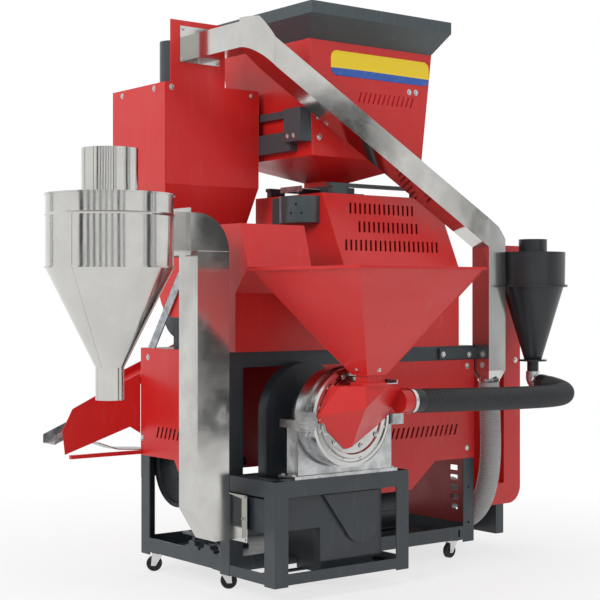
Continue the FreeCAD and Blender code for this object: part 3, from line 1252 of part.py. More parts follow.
# ================================================================ drive, mill and motor inside
def drive_wheel():
    """Belt wheel on the layshaft at the left end."""
    thick = 34.0
    r = DRIVE_RADIUS
    profile = [(0, 0), (36, 0), (40, 8), (r - 18, 8), (r - 14, 0), (r, 0), (r, 6), (r - 8, 12),
               (r, 18), (r, thick), (0, thick)]
    wheel = revolve(profile, at(DRIVE_X - thick / 2, DRIVE_Y, DRIVE_Z), X, Y)
    shaft = rod(at(DRIVE_X, DRIVE_Y, DRIVE_Z), X, DRIVE_SHAFT, LAYSHAFT_LENGTH)
    return union([wheel, shaft])


LAYSHAFT_LENGTH = 250.0
BEARINGS_X = (130.0, 250.0)


def bearing_blocks():
    """Pedestals of the layshaft, and the belt tensioner's blocks and screw on the left rail."""
    floor_z = RAIL_BOTTOM + LEG_THICK + FLOOR_THICK
    solids = []
    for x in BEARINGS_X:
        outline = [(DRIVE_Y - 70, floor_z), (DRIVE_Y + 70, floor_z), (DRIVE_Y + 70, floor_z + 12),
                   (DRIVE_Y + 34, floor_z + 30), (DRIVE_Y + 34, DRIVE_Z), (DRIVE_Y - 34, DRIVE_Z),
                   (DRIVE_Y - 34, floor_z + 30), (DRIVE_Y - 70, floor_z + 12)]
        block = union([side_profile(outline, x, x + 30), rod(at(x, DRIVE_Y, DRIVE_Z), X, 34, 30)])
        solids.append(block.cut(rod(at(x - 1, DRIVE_Y, DRIVE_Z), X, DRIVE_SHAFT + FIT, 32)))
    rail_top = RAIL_TOP
    for y in (120.0, 205.0):
        foot = [(y - 36, rail_top), (y + 36, rail_top), (y + 36, rail_top + 7), (y + 16, rail_top + 12),
                (y + 16, rail_top + 22), (y - 16, rail_top + 22), (y - 16, rail_top + 12),
                (y - 36, rail_top + 7)]
        solids.append(side_profile(foot, 0, 22))
    screw = rod(at(11, 205, rail_top + 22), Z, 6, 62)
    arm = box(0, 22, 190, 258, rail_top + 40, rail_top + 46)
    solids.append(union([screw, arm]))
    return Part.makeCompound(solids)


def mill_body():
    """Cast whitening chamber with its flanges, feed throat and feet."""
    left = 46.0
    length = 300.0
    centre = at(left, MILL_Y, MILL_Z)
    barrel = rod(centre, X, MILL_RADIUS - 14, length)
    flanges = [rod(centre + X * step, X, MILL_RADIUS, 14) for step in (0, length / 2, length - 14)]
    throat = funnel((left + 90, left + 210, MILL_Y + 20, MILL_Y + 110), MILL_Z,
                    (left + 60, left + 240, MILL_Y + 70, MILL_Y + 190), BIN_OUTLET_Z, 2 * SHEET)
    feet = box(left + 20, left + length - 20, MILL_Y - 60, MILL_Y + 60, DECK_TOP, MILL_Z - 40)
    bore = rod(centre + X * 14, X, MILL_RADIUS - 34, length - 28)
    return union([barrel, throat, feet] + flanges).cut(bore)


def mill_guard():
    """Red rounded guard over the mill's left end."""
    back = 36.0
    centre = at(8, MILL_Y - 40, MILL_Z + 70)
    drum = rod(centre, X, 96, back)
    low = box(8, 8 + back, MILL_Y - 136, MILL_Y - 92, DECK_TOP, MILL_Z + 70)
    return union([drum, low])


def main_motor():
    """Electric motor on the floor plate: ribbed body, end bells, terminal box and feet."""
    floor_z = RAIL_BOTTOM + LEG_THICK + FLOOR_THICK
    z = floor_z + MOTOR_RADIUS + 14
    centre = at(MOTOR_X, MOTOR_Y, z)
    body = rod(centre, X, MOTOR_RADIUS - 6, MOTOR_LENGTH)
    fins = []
    for n in range(16):
        fin = box(0, MOTOR_LENGTH - 60, -1.5, 1.5, MOTOR_RADIUS - 10, MOTOR_RADIUS)
        place = FreeCAD.Placement(centre + X * 30, FreeCAD.Rotation(X, n * 22.5))
        fins.append(placed(fin, place))
    bell = rod(centre - X * 36, X, MOTOR_RADIUS - 2, 36)
    shaft = rod(centre + X * MOTOR_LENGTH, X, 14, 50)
    pulley = rod(centre + X * (MOTOR_LENGTH + 14), X, 46, 30)
    terminals = box(MOTOR_X + 70, MOTOR_X + 160, MOTOR_Y - 45, MOTOR_Y + 45, z + MOTOR_RADIUS - 14,
                    z + MOTOR_RADIUS + 36)
    feet = box(MOTOR_X + 20, MOTOR_X + MOTOR_LENGTH - 20, MOTOR_Y - 80, MOTOR_Y + 80, floor_z,
               z - MOTOR_RADIUS + 20)
    return union([body, bell, shaft, pulley, terminals, feet] + fins)


def galvanised_chutes():
    """Strap chute on the left side and the pan under the screen."""
    strap_width = 42.0
    low_y, low_z, high_y, high_z = 463.0, DECK_TOP, 283.0, 926.0
    outline = [(low_y, low_z), (low_y - strap_width, low_z), (high_y - strap_width, high_z + 40),
               (high_y, high_z + 40)]
    strap = side_profile(outline, 0, 4)
    pan = front_profile([(-160, 420), (-86, 394), (40, 386), (40, 389), (-85, 397), (-159, 423)],
                        FRAME_WIDTH + SHEET, TRAY_BACK + 8)
    return Part.makeCompound([strap, pan])


# ================================================================ vibrating screen
def along_screen(x, drop):
    """Point (x, z) on a line parallel to the screen, a given drop under its upper edge."""
    return (x, SCREEN_TOP_Z + x * math.tan(SCREEN_SLOPE) - drop)


def screen_box():
    """Sloping tray with side walls and the deep skirt on its near side."""
    skirt = [(0, SCREEN_TOP_Z), (-165, 573), (-250, 534), (SCREEN_LEFT, 467), (-277, 390),
             (-39, 466), (0, 443)]
    near = front_profile(skirt, SCREEN_FRONT, SCREEN_FRONT + SHEET)
    drop = SCREEN_DECK_DROP
    wall = [along_screen(SCREEN_RIGHT, 12), along_screen(SCREEN_LIP, 12),
            along_screen(SCREEN_LIP, drop), along_screen(SCREEN_RIGHT, drop)]
    near = union([near, front_profile(wall, SCREEN_FRONT, SCREEN_FRONT + SHEET)])
    far = front_profile(wall, SCREEN_BACK - SHEET, SCREEN_BACK)
    floor = [along_screen(SCREEN_RIGHT, drop), along_screen(SCREEN_LIP, drop),
             along_screen(SCREEN_LIP, drop + SHEET), along_screen(SCREEN_RIGHT, drop + SHEET)]
    deck = front_profile(floor, SCREEN_FRONT, SCREEN_BACK)
    return union([near, far, deck])


SCREEN_LIP = -65.0
TRAY_LEFT = -312.0
TRAY_BACK = 592.0
TRAY_DROP = 87.0


def screen_runners():
    """Cross bars on the frame's back that carry the screen."""
    bars = []
    for x in SCREEN_BARS_X:
        top_x, top_z = along_screen(x, SCREEN_DECK_DROP + SHEET)
        down = (SCREEN_BAR + MOVING_GAP) / math.cos(SCREEN_SLOPE)
        bars.append(rod(at(x, FRAME_WIDTH + SHEET, top_z - down), Y, SCREEN_BAR,
                        SCREEN_BACK - FRAME_WIDTH))
    return Part.makeCompound(bars)


def screen_tray():
    """Galvanised discharge lip carried on beyond the screen's lower end."""
    seat = SCREEN_DECK_DROP + SHEET
    rim = TRAY_DROP - 28
    right = SCREEN_LIP + 12
    floor = [along_screen(right, TRAY_DROP - SHEET), along_screen(TRAY_LEFT, TRAY_DROP - SHEET),
             along_screen(TRAY_LEFT, TRAY_DROP), along_screen(right, TRAY_DROP)]
    lip = [along_screen(right, seat), along_screen(right - 20, seat), along_screen(right - 70, rim),
           along_screen(TRAY_LEFT, rim), along_screen(TRAY_LEFT, TRAY_DROP),
           along_screen(right, TRAY_DROP)]
    front_y = SCREEN_FRONT + SHEET
    deck = front_profile(floor, front_y, TRAY_BACK)
    near = front_profile(lip, front_y, front_y + SHEET)
    far = front_profile(lip, TRAY_BACK - SHEET, TRAY_BACK)
    return union([deck, near, far])


def hose_clamps():
    suction = pipe(at(COLLAR_X + 8, COLLAR_Y, COLLAR_Z), X, SUCTION_RADIUS + 1, SUCTION_RADIUS - CLAMP_WALL, 12)
    discharge = pipe(at(DOWN_X, DUCT_PLANE, DOWN_END + 4), Z, DISCHARGE_RADIUS + 1,
                     SPIGOT_RADIUS - CLAMP_WALL, 8)
    return Part.makeCompound([suction, discharge])


# ================================================================ hoses
DISCHARGE_END_Y = 158.0
DISCHARGE_END_Z = 98.0


def suction_hose():
    """Corrugated hose from the grinder's collar round to the dust cyclone's elbow."""
    end_y = BLACK_Y - ELBOW_REACH
    points = [at(COLLAR_X + COLLAR_LENGTH, COLLAR_Y, COLLAR_Z), at(640, -329, 572), at(880, -326, 566),
              at(BLACK_X - 103, -318, 564), at(BLACK_X, -219, 574), at(BLACK_X, end_y, ELBOW_Z)]
    return hose("suction_hose", points, SUCTION_RADIUS)


def discharge_hose():
    """Corrugated hose from the elevator duct's foot back to the blower."""
    points = [at(DOWN_X, DUCT_PLANE, DOWN_END), at(DOWN_X + 6, DUCT_PLANE - 3, 450),
              at(DOWN_X + 8, DUCT_PLANE, 295), at(DOWN_X + 5, 8, 170),
              at(DOWN_X, 88, 106), at(DOWN_X, DISCHARGE_END_Y, DISCHARGE_END_Z)]
    return hose("discharge_hose", points, DISCHARGE_RADIUS)


# ================================================================ write the parts
def build():
    nodes["frame_legs"] = frame_legs()
    nodes["frame_rails"] = frame_rails()
    nodes["frame_plates"] = frame_plates()
    nodes["grinder_stand"] = grinder_stand()
    nodes["front_panel"] = front_panel()
    nodes["left_panel"] = left_panel()
    nodes["rear_panels"] = rear_panels()
    nodes["side_housing"] = side_housing()
    nodes["huller_housing"] = huller_housing()
    nodes["guard_end_cover"] = guard_end_cover()
    nodes["bran_bin"] = bran_bin()
    nodes["bin_flange"] = bin_flange()
    nodes["elevator_duct"] = elevator_duct()
    nodes["paddy_hopper"] = paddy_hopper()
    nodes["hopper_rim"] = hopper_rim()
    nodes["hopper_support"] = hopper_support()
    nodes["hopper_gate"] = hopper_gate()
    nodes["precleaner"] = precleaner()
    nodes["feed_hopper"] = feed_hopper()
    nodes["feed_neck"] = feed_neck()
    nodes["feed_gate"] = feed_gate()
    nodes["grinder_body"] = grinder_body()
    nodes["grinder_door"] = grinder_door()
    nodes["grinder_cover"] = grinder_cover()
    nodes["grinder_clamps"] = grinder_clamps()
    nodes["grinder_guard"] = grinder_guard()
    nodes["grinder_rotor"] = grinder_rotor()
    nodes["grinder_knob"] = grinder_knob()
    nodes["fan_casing"] = fan_casing()
    nodes["fan_impeller"] = fan_impeller()
    nodes["riser_duct"] = riser_duct()
    nodes["cyclone_body"] = cyclone_body()
    nodes["cyclone_stack"] = cyclone_stack()
    nodes["black_cyclone"] = black_cyclone()
    nodes["black_elbow"] = black_elbow()
    nodes["belt_guard"] = belt_guard()
    nodes["side_stand"] = side_stand()
    nodes["side_blower"] = side_blower()
    nodes["hose_clamps"] = hose_clamps()
    nodes["suction_hose"] = suction_hose()
    nodes["discharge_hose"] = discharge_hose()
    nodes["galvanised_chutes"] = galvanised_chutes()
    nodes["mill_body"] = mill_body()
    nodes["mill_guard"] = mill_guard()
    nodes["bearing_blocks"] = bearing_blocks()
    nodes["main_motor"] = main_motor()
    nodes["drive_wheel"] = drive_wheel()
    nodes["screen_box"] = screen_box()
    nodes["screen_tray"] = screen_tray()
    nodes["screen_runners"] = screen_runners()
    front_roll, back_roll = roll_rows()
    nodes["roll_fast"] = roll(front_roll)
    nodes["roll_slow"] = roll(back_roll)
    for name, place in castor_places().items():
        nodes["castor_fork_" + name] = castor_fork(*place)
        nodes["castor_wheel_" + name] = castor_wheel(*place)


def origin():
    """Bottom centre of the machine, from the pieces that reach furthest each way."""
    left = CYCLONE_X - CYCLONE_RADIUS - CYCLONE_BEAD
    right = BLACK_X + BLACK_RADIUS + 9.0
    return at((left + right) / 2, (FEED_FRONT + BIN_BACK) / 2, 0)


build()
os.makedirs("parts", exist_ok=True)
base = origin()
for name, shape in nodes.items():
    shape.translate(base * -1)
    shape.exportStep("parts/" + name + ".step")
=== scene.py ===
import json
import math

import bmesh
import bpy
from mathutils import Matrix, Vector


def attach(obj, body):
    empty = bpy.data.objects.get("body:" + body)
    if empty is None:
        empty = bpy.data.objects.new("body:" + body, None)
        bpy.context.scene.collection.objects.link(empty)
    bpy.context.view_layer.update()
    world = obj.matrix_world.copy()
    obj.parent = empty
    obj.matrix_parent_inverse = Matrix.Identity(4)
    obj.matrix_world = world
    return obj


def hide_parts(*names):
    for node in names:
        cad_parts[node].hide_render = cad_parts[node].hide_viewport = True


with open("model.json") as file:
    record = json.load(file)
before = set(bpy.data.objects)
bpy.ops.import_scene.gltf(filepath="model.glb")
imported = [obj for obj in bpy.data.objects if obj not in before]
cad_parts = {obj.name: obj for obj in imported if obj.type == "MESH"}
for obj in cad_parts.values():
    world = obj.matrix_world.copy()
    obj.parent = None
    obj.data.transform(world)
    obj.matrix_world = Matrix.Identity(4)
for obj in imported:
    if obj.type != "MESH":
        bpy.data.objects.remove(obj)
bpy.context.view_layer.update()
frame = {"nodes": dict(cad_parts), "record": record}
scene = bpy.context.scene
X, Y, Z = Vector((1, 0, 0)), Vector((0, 1, 0)), Vector((0, 0, 1))


ORIGIN_X, ORIGIN_Y = 335, 43  # where the shared frame's origin lies, in mm() counts


def mm(x, y, z):
    """Point in metres from millimetres counted from the frame's front left corner."""
    return Vector(((x - ORIGIN_X) / 1000, (y - ORIGIN_Y) / 1000, z / 1000))


# Places in millimetres that more than one section uses.
CYCLONE_X, CYCLONE_Y = -505, -163   # upright axis of the steel cyclone
GRINDER_X, GRINDER_Z = 247, 534     # axis of the grinder's door, which faces the front
HOPPER_FRONT = 110                  # front face of the paddy hopper
BIN_RIM, UPRIGHT_BACK = 1580.5, 367.5   # just over the bran bin, just behind its upright sheet


# ---------------------------------------------------------------- camera and light
CAMERA_PLACE = (-2.749, -3.499, 0.880)
LOOK = Vector((0.613, 0.790, 0))    # level line of sight


def add_camera():
    data = bpy.data.cameras.new("camera")
    data.lens = 84.3
    data.sensor_width = 36
    data.clip_end = 60
    camera = bpy.data.objects.new("camera", data)
    camera.location = CAMERA_PLACE
    camera.rotation_euler = LOOK.to_track_quat("-Z", "Y").to_euler()
    scene.collection.objects.link(camera)
    scene.camera = camera


def area_light(name, place, target, size, power):
    """Square lamp that lights the machine but shows in no mirror."""
    data = bpy.data.lights.new(name, "AREA")
    data.shape = "RECTANGLE"
    data.size = data.size_y = size
    data.energy = power
    lamp = bpy.data.objects.new(name, data)
    lamp.location = place
    lamp.rotation_euler = (Vector(target) - Vector(place)).to_track_quat("-Z", "Y").to_euler()
    lamp.visible_glossy = False
    scene.collection.objects.link(lamp)


add_camera()
area_light("key", (-4.6, -1.6, 3.2), (0, 0, 0.9), 2.2, 150)
area_light("fill", (1.8, -5.2, 2.8), (0, 0, 0.9), 2.6, 62)
area_light("top", (0.0, 0.6, 4.6), (0, 0, 0.6), 3.0, 60)
area_light("back", (3.4, 4.0, 2.6), (0, 0, 0.9), 2.4, 60)
scene.view_settings.view_transform = "Standard"


# ---------------------------------------------------------------- shader helpers
class Tree:
    """Small helper that adds and joins shader nodes."""

    def __init__(self, tree):
        self.tree = tree

    def add(self, kind, inputs=None, **settings):
        node = self.tree.nodes.new(kind)
        for key, value in settings.items():
            setattr(node, key, value)
        for key, value in (inputs or {}).items():
            if isinstance(value, bpy.types.NodeSocket):
                self.tree.links.new(value, node.inputs[key])
            else:
                node.inputs[key].default_value = value
        return node

    def link(self, source, socket):
        self.tree.links.new(source, socket)

    def math(self, operation, a, b=0.0, clamp=False):
        return self.add("ShaderNodeMath", {0: a, 1: b}, operation=operation,
                        use_clamp=clamp).outputs[0]

    def mix(self, factor, a, b, blend="MIX"):
        node = self.add("ShaderNodeMix", {0: factor}, data_type="RGBA", blend_type=blend)
        for index, value in ((6, a), (7, b)):
            if isinstance(value, bpy.types.NodeSocket):
                self.tree.links.new(value, node.inputs[index])
            else:
                node.inputs[index].default_value = (*value, 1)
        return node.outputs[2]

    def noise(self, coords, scale, detail=3.0, roughness=0.5):
        return self.add("ShaderNodeTexNoise", {"Vector": coords, "Scale": scale, "Detail": detail,
                                               "Roughness": roughness}).outputs["Fac"]

    def ramp(self, value, low, high, to_low=0.0, to_high=1.0):
        return self.add("ShaderNodeMapRange", {0: value, 1: low, 2: high, 3: to_low,
                                               4: to_high}).outputs[0]

    def coords(self, stretch=(1, 1, 1)):
        spot = self.add("ShaderNodeTexCoord").outputs["Object"]
        return self.add("ShaderNodeMapping", {"Vector": spot, "Scale": stretch}).outputs[0]

    def bump(self, height, strength, distance=0.001, under=None):
        inputs = {"Height": height, "Strength": strength, "Distance": distance}
        if under is not None:
            inputs["Normal"] = under
        return self.add("ShaderNodeBump", inputs).outputs[0]

    def looked_at(self):
        """1 for camera, mirror and see-through rays, 0 for rays that carry light."""
        path = self.add("ShaderNodeLightPath").outputs
        direct = self.math("ADD", path["Is Camera Ray"], path["Is Glossy Ray"])
        return self.math("ADD", direct, path["Is Transmission Ray"], True)


def linear(colour):
    """Linear colour from red, green and blue out of 255."""
    return tuple(c / 12.92 if c <= 0.04045 else ((c + 0.055) / 1.055) ** 2.4
                 for c in (v / 255 for v in colour))


def start(name):
    """A new material, its node helper and its shader."""
    material = bpy.data.materials.new(name)
    material.use_nodes = True
    tree = Tree(material.node_tree)
    return material, tree, material.node_tree.nodes["Principled BSDF"]


def edge_mask(t, radius):
    """Near 1 on sharp outer and inner edges, 0 on flat faces."""
    soft = t.add("ShaderNodeBevel", {"Radius": radius}, samples=4).outputs[0]
    hard = t.add("ShaderNodeNewGeometry").outputs["Normal"]
    dot = t.add("ShaderNodeVectorMath", {0: soft, 1: hard}, operation="DOT_PRODUCT")
    return t.ramp(dot.outputs["Value"], 0.99, 0.86)


def painted(name, colour, roughness=0.42, coat=0.25):
    """Powder-coated sheet: broad tone drift, orange peel, faint dust, and edges lighter, partly as
    rubbed wear and partly as a painted highlight.
    """
    material, t, shader = start(name)
    base = linear(colour)
    coords = t.coords()
    broad = t.noise(coords, 2.6, 4.0)
    drift = t.mix(t.ramp(broad, 0.3, 0.7), tuple(c * 0.93 for c in base),
                  tuple(min(1, c * 1.05) for c in base))
    streaks = t.noise(t.coords((6, 6, 1)), 9.0, 5.0, 0.6)
    haze = t.ramp(streaks, 0.56, 0.78, 0.0, 0.05)
    dusty = t.mix(haze, drift, (0.55, 0.52, 0.49))
    # Edges lighter in patches: partly rubbed wear, partly a painted highlight along the edges.
    wear_and_edge_highlight = t.math("MULTIPLY", edge_mask(t, 0.0022), t.ramp(t.noise(coords, 90, 3), 0.42, 0.62))
    final = t.mix(t.math("MULTIPLY", wear_and_edge_highlight, 0.32), dusty,
                  tuple(min(1, c * 1.5 + 0.03) for c in base))
    shader.inputs["Coat Weight"].default_value = coat
    shader.inputs["Coat Roughness"].default_value = 0.22
    t.link(final, shader.inputs["Base Color"])
    rough = t.ramp(t.noise(coords, 14, 4), 0.3, 0.7, roughness - 0.05, roughness + 0.07)
    t.link(rough, shader.inputs["Roughness"])
    fine = t.bump(t.noise(coords, 700, 2), 0.10, 0.0006)
    wave = t.bump(t.noise(coords, 5.0, 2), 0.05, 0.01, fine)
    t.link(wave, shader.inputs["Normal"])
    return material


RED_TONE = (204, 34, 32)


def two_tone(name):
    """Red enamel, with the drum behind the upright sheet in the dark one."""
    material = painted(name, RED_TONE)
    t = Tree(material.node_tree)
    shader = material.node_tree.nodes["Principled BSDF"]
    red = shader.inputs["Base Color"].links[0].from_socket
    spot = t.add("ShaderNodeSeparateXYZ", {0: t.add("ShaderNodeTexCoord").outputs["Object"]})
    edge = mm(0, UPRIGHT_BACK, BIN_RIM)
    high = t.math("GREATER_THAN", spot.outputs[2], edge.z)
    behind = t.math("GREATER_THAN", spot.outputs[1], edge.y)
    t.link(t.mix(t.math("MULTIPLY", high, behind), red, linear((46, 52, 57))),
                     shader.inputs["Base Color"])
    return material


def polished(name, colour=(205, 204, 200), roughness=0.09, wave=0.10, brushed=(1, 1, 40)):
    """Polished sheet steel: slightly wavy mirror, hairlines and finger smudges."""
    material, t, shader = start(name)
    base = linear(colour)
    coords = t.coords()
    hair = t.noise(t.coords(brushed), 40, 4, 0.6)
    smudge = t.noise(coords, 7, 5, 0.6)
    tone = t.mix(t.ramp(smudge, 0.35, 0.75), base, tuple(c * 0.86 for c in base))
    t.link(tone, shader.inputs["Base Color"])
    shader.inputs["Metallic"].default_value = 1.0
    rough = t.math("ADD", t.ramp(smudge, 0.4, 0.72, roughness, roughness + 0.10),
                   t.ramp(hair, 0.3, 0.7, 0.0, 0.04))
    t.link(rough, shader.inputs["Roughness"])
    ripple = t.bump(t.noise(coords, 4.5, 2), wave, 0.02)
    fine = t.bump(hair, 0.02, 0.0005, ripple)
    t.link(fine, shader.inputs["Normal"])
    return material


def galvanised(name):
    """Zinc spangle on dull sheet."""
    material, t, shader = start(name)
    coords = t.coords()
    cell = t.add("ShaderNodeTexVoronoi", {"Vector": coords, "Scale": 75.0}).outputs["Color"]
    grey = t.add("ShaderNodeSeparateColor", {0: cell}).outputs[0]
    tone = t.mix(grey, linear((150, 154, 158)), linear((196, 199, 202)))
    t.link(tone, shader.inputs["Base Color"])
    shader.inputs["Metallic"].default_value = 0.9
    t.link(t.ramp(grey, 0, 1, 0.30, 0.48), shader.inputs["Roughness"])
    t.link(t.bump(t.noise(coords, 9, 3), 0.10, 0.01), shader.inputs["Normal"])
    return material


def cast(name, colour, metallic, roughness, grain=180, strength=0.25):
    """Sand-cast metal: grainy skin with random stains."""
    material, t, shader = start(name)
    base = linear(colour)
    coords = t.coords()
    stain = t.noise(coords, 18, 6, 0.65)
    tone = t.mix(t.ramp(stain, 0.38, 0.7), base, tuple(c * 0.62 for c in base))
    t.link(tone, shader.inputs["Base Color"])
    shader.inputs["Metallic"].default_value = metallic
    rough = t.ramp(stain, 0.35, 0.7, roughness, roughness + 0.18)
    t.link(rough, shader.inputs["Roughness"])
    skin = t.bump(t.noise(coords, grain, 4, 0.6), strength, 0.001)
    t.link(skin, shader.inputs["Normal"])
    return material


def plastic(name, colour, roughness, mottled=0.12, scale=60, bump=0.1):
    """Moulded plastic or rubber with a faint bloom and grain."""
    material, t, shader = start(name)
    base = linear(colour)
    coords = t.coords()
    bloom = t.noise(coords, 8, 5, 0.6)
    pale = tuple(min(1, c * (1 + mottled) + 0.006) for c in base)
    tone = t.mix(t.ramp(bloom, 0.35, 0.75), base, pale)
    t.link(tone, shader.inputs["Base Color"])
    rough = t.ramp(bloom, 0.3, 0.7, roughness - 0.05, roughness + 0.08)
    t.link(rough, shader.inputs["Roughness"])
    grain = t.bump(t.noise(coords, scale * 10, 2), bump, 0.0005)
    t.link(grain, shader.inputs["Normal"])
    return material


RED = painted("red_enamel", RED_TONE)
DARK = painted("grey_enamel", (50, 58, 64), roughness=0.45, coat=0.15)
RIM = painted("rim_enamel", (58, 70, 74), roughness=0.42, coat=0.2)
HOUSING = painted("housing_enamel", (40, 47, 53), roughness=0.40, coat=0.2)
STEEL = polished("stainless")
BRIGHT = polished("bright_steel", (214, 214, 214), 0.16, 0.05)
ZINC = galvanised("galvanised")
ALLOY = cast("cast_alloy", (196, 197, 198), 1.0, 0.15, 160, 0.08)
DOOR = polished("turned_alloy", (208, 208, 206), 0.10, 0.05, (1, 40, 1))
IRON = cast("machined_iron", (96, 99, 102), 0.8, 0.42)
WHEEL_IRON = cast("wheel_iron", (44, 48, 52), 0.3, 0.5)
MOTOR = painted("motor_enamel", (34, 38, 42), roughness=0.45, coat=0.1)
BLACK = plastic("black_plastic", (30, 33, 37), 0.34)
BLACK_HOSE = plastic("black_hose", (26, 29, 33), 0.42)
GREY_HOSE = plastic("grey_hose", (166, 166, 166), 0.5)
RUBBER = plastic("tyre_rubber", (26, 27, 29), 0.7, 0.3, 90, 0.3)
ROLL = plastic("roll_rubber", (92, 66, 48), 0.6, 0.2, 60, 0.3)
BARE = galvanised("plain_steel")

# The finish of each slot, and of the two nodes that look unlike the rest of their slot.
FINISH = {"frame_paint": DARK, "red_paint": RED, "rim_paint": RIM, "housing_paint": HOUSING,
          "stainless": STEEL, "galvanised": ZINC, "grinder_alloy": ALLOY, "bright_steel": BRIGHT,
          "gate_steel": BARE, "machine_steel": IRON, "drive_iron": WHEEL_IRON, "motor_paint": MOTOR,
          "black_plastic": BLACK, "elbow_metal": BRIGHT, "black_hose": BLACK_HOSE,
          "grey_hose": GREY_HOSE, "roll_rubber": ROLL, "castor_zinc": BRIGHT,
          "castor_rubber": RUBBER}
OWN = {"grinder_door": DOOR, "bran_bin": two_tone("bin_enamel")}
slot_of = {part["node"]: part["material_slot"] for part in frame["record"]["subparts"]}
for node_name, node in frame["nodes"].items():
    node.data.materials.clear()
    node.data.materials.append(OWN.get(node_name, FINISH[slot_of[node_name]]))


# ---------------------------------------------------------------- mesh helpers
def piece(name, mesh, material, body, smooth_angle=35):
    """Visible piece made from a mesh, which rides on a body."""
    data = bpy.data.meshes.new(name)
    mesh.to_mesh(data)
    mesh.free()
    data.materials.append(material)
    for polygon in data.polygons:
        polygon.use_smooth = True
    data.set_sharp_from_angle(angle=math.radians(smooth_angle))
    thing = bpy.data.objects.new(name, data)
    scene.collection.objects.link(thing)
    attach(thing, body)
    return thing


def lathe(mesh, centre, axis, profile, steps=24):
    """Surface of revolution through (radius, height along the axis) pairs, in millimetres."""
    axis = axis.normalized()
    side = axis.orthogonal().normalized()
    other = axis.cross(side)
    rings = []
    for radius, height in profile:
        ring = []
        for n in range(steps):
            angle = 2 * math.pi * n / steps
            out = side * math.cos(angle) + other * math.sin(angle)
            ring.append(mesh.verts.new(centre + (out * radius + axis * height) / 1000))
        rings.append(ring)
    for low, high in zip(rings, rings[1:]):
        for n in range(steps):
            mesh.faces.new((low[n], low[(n + 1) % steps], high[(n + 1) % steps], high[n]))
    return rings


def cap(mesh, ring):
    mesh.faces.new(ring)


def bolt(mesh, centre, axis, radius=6.0):
    """Washer and a domed or hexagon head."""
    washer = radius * 1.5
    rings = lathe(mesh, centre, axis, [(washer, -0.4), (washer, 0.9), (washer - 0.7, 1.3),
                                       (radius, 1.3)], 20)
    cap(mesh, list(reversed(rings[0])))
    head = lathe(mesh, centre, axis, [(radius, 1.0), (radius, 3.4), (radius * 0.86, 4.3),
                                      (radius * 0.5, 4.7)], 6)
    cap(mesh, head[-1])


def tube(mesh, points, radii, steps):
    """Closed round tube along points in metres, with one radius in metres for each point."""
    heading = (points[1] - points[0]).normalized()
    side = heading.orthogonal().normalized()
    rings = []
    for n, point in enumerate(points):
        ahead = points[min(n + 1, len(points) - 1)] - points[max(n - 1, 0)]
        ahead.normalize()
        side = (side - ahead * side.dot(ahead)).normalized()
        other = ahead.cross(side)
        ring = []
        for k in range(steps):
            angle = 2 * math.pi * k / steps
            out = side * math.cos(angle) + other * math.sin(angle)
            ring.append(mesh.verts.new(point + out * radii[n]))
        rings.append(ring)
    for low, high in zip(rings, rings[1:]):
        for k in range(steps):
            mesh.faces.new((low[k], low[(k + 1) % steps], high[(k + 1) % steps], high[k]))
    cap(mesh, list(reversed(rings[0])))
    cap(mesh, rings[-1])


# ---------------------------------------------------------------- hoses
def route_line(name, points):
    """Points along the route's own NURBS line."""
    curve = bpy.data.curves.new(name + "_line", "CURVE")
    curve.dimensions = "3D"
    spline = curve.splines.new("NURBS")
    spline.points.add(len(points) - 1)
    for control, point in zip(spline.points, points):
        control.co = (*point, 1)
    spline.order_u = 3
    spline.use_endpoint_u = True
    spline.resolution_u = 24
    thing = bpy.data.objects.new(name + "_line", curve)
    scene.collection.objects.link(thing)
    data = bpy.data.meshes.new_from_object(thing)
    line = [vertex.co.copy() for vertex in data.vertices]
    bpy.data.objects.remove(thing)
    bpy.data.meshes.remove(data)
    return line


def spaced(line, step):
    """The line's points again, an even distance apart, and the line's length."""
    total = sum((b - a).length for a, b in zip(line, line[1:]))
    count = max(2, round(total / step))
    gap = total / count
    result = [line[0].copy()]
    travelled, target = 0.0, gap
    for a, b in zip(line, line[1:]):
        run = (b - a).length
        while run > 0 and travelled + run >= target - 1e-9 and len(result) < count:
            result.append(a + (b - a) * ((target - travelled) / run))
            target += gap
        travelled += run
    result.append(line[-1].copy())
    return result, total


def ribbed_hose(name, node, points, radius, pitch, depth, cuff, material, segments=28):
    """Corrugated hose: rounded ribs, with a smooth cuff at each end."""
    line, length = spaced(route_line(name, points), pitch / 6)
    radii = []
    for n in range(len(line)):
        s = n * length / (len(line) - 1)
        from_end = min(s, length - s)
        if from_end < cuff:
            radii.append(radius - depth * 0.35)
        else:
            radii.append(radius - depth * (0.5 - 0.5 * math.cos(2 * math.pi * s / pitch)) ** 1.4)
    mesh = bmesh.new()
    tube(mesh, line, radii, segments)
    thing = piece(name, mesh, material, "frame", 80)
    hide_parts(node)


SUCTION = [(440, -325, 577), (640, -329, 572), (880, -326, 566), (1128, -318, 564),
           (1231, -219, 574), (1231, -121, 588)]
DISCHARGE = [(1068, -30, 597), (1074, -33, 450), (1076, -30, 295), (1073, 8, 170), (1068, 88, 106),
             (1068, 158, 98)]
ribbed_hose("black_hose", "suction_hose", [mm(*p) for p in SUCTION], radius=0.0368,
            pitch=0.0105, depth=0.0034, cuff=0.034, material=BLACK_HOSE)
ribbed_hose("grey_hose", "discharge_hose", [mm(*p) for p in DISCHARGE], radius=0.0363,
            pitch=0.0085, depth=0.0028, cuff=0.012, material=GREY_HOSE)


# ---------------------------------------------------------------- bolts
LEFT, RIGHT, FRONT, BACK, UP = -X, X, -Y, Y, Z
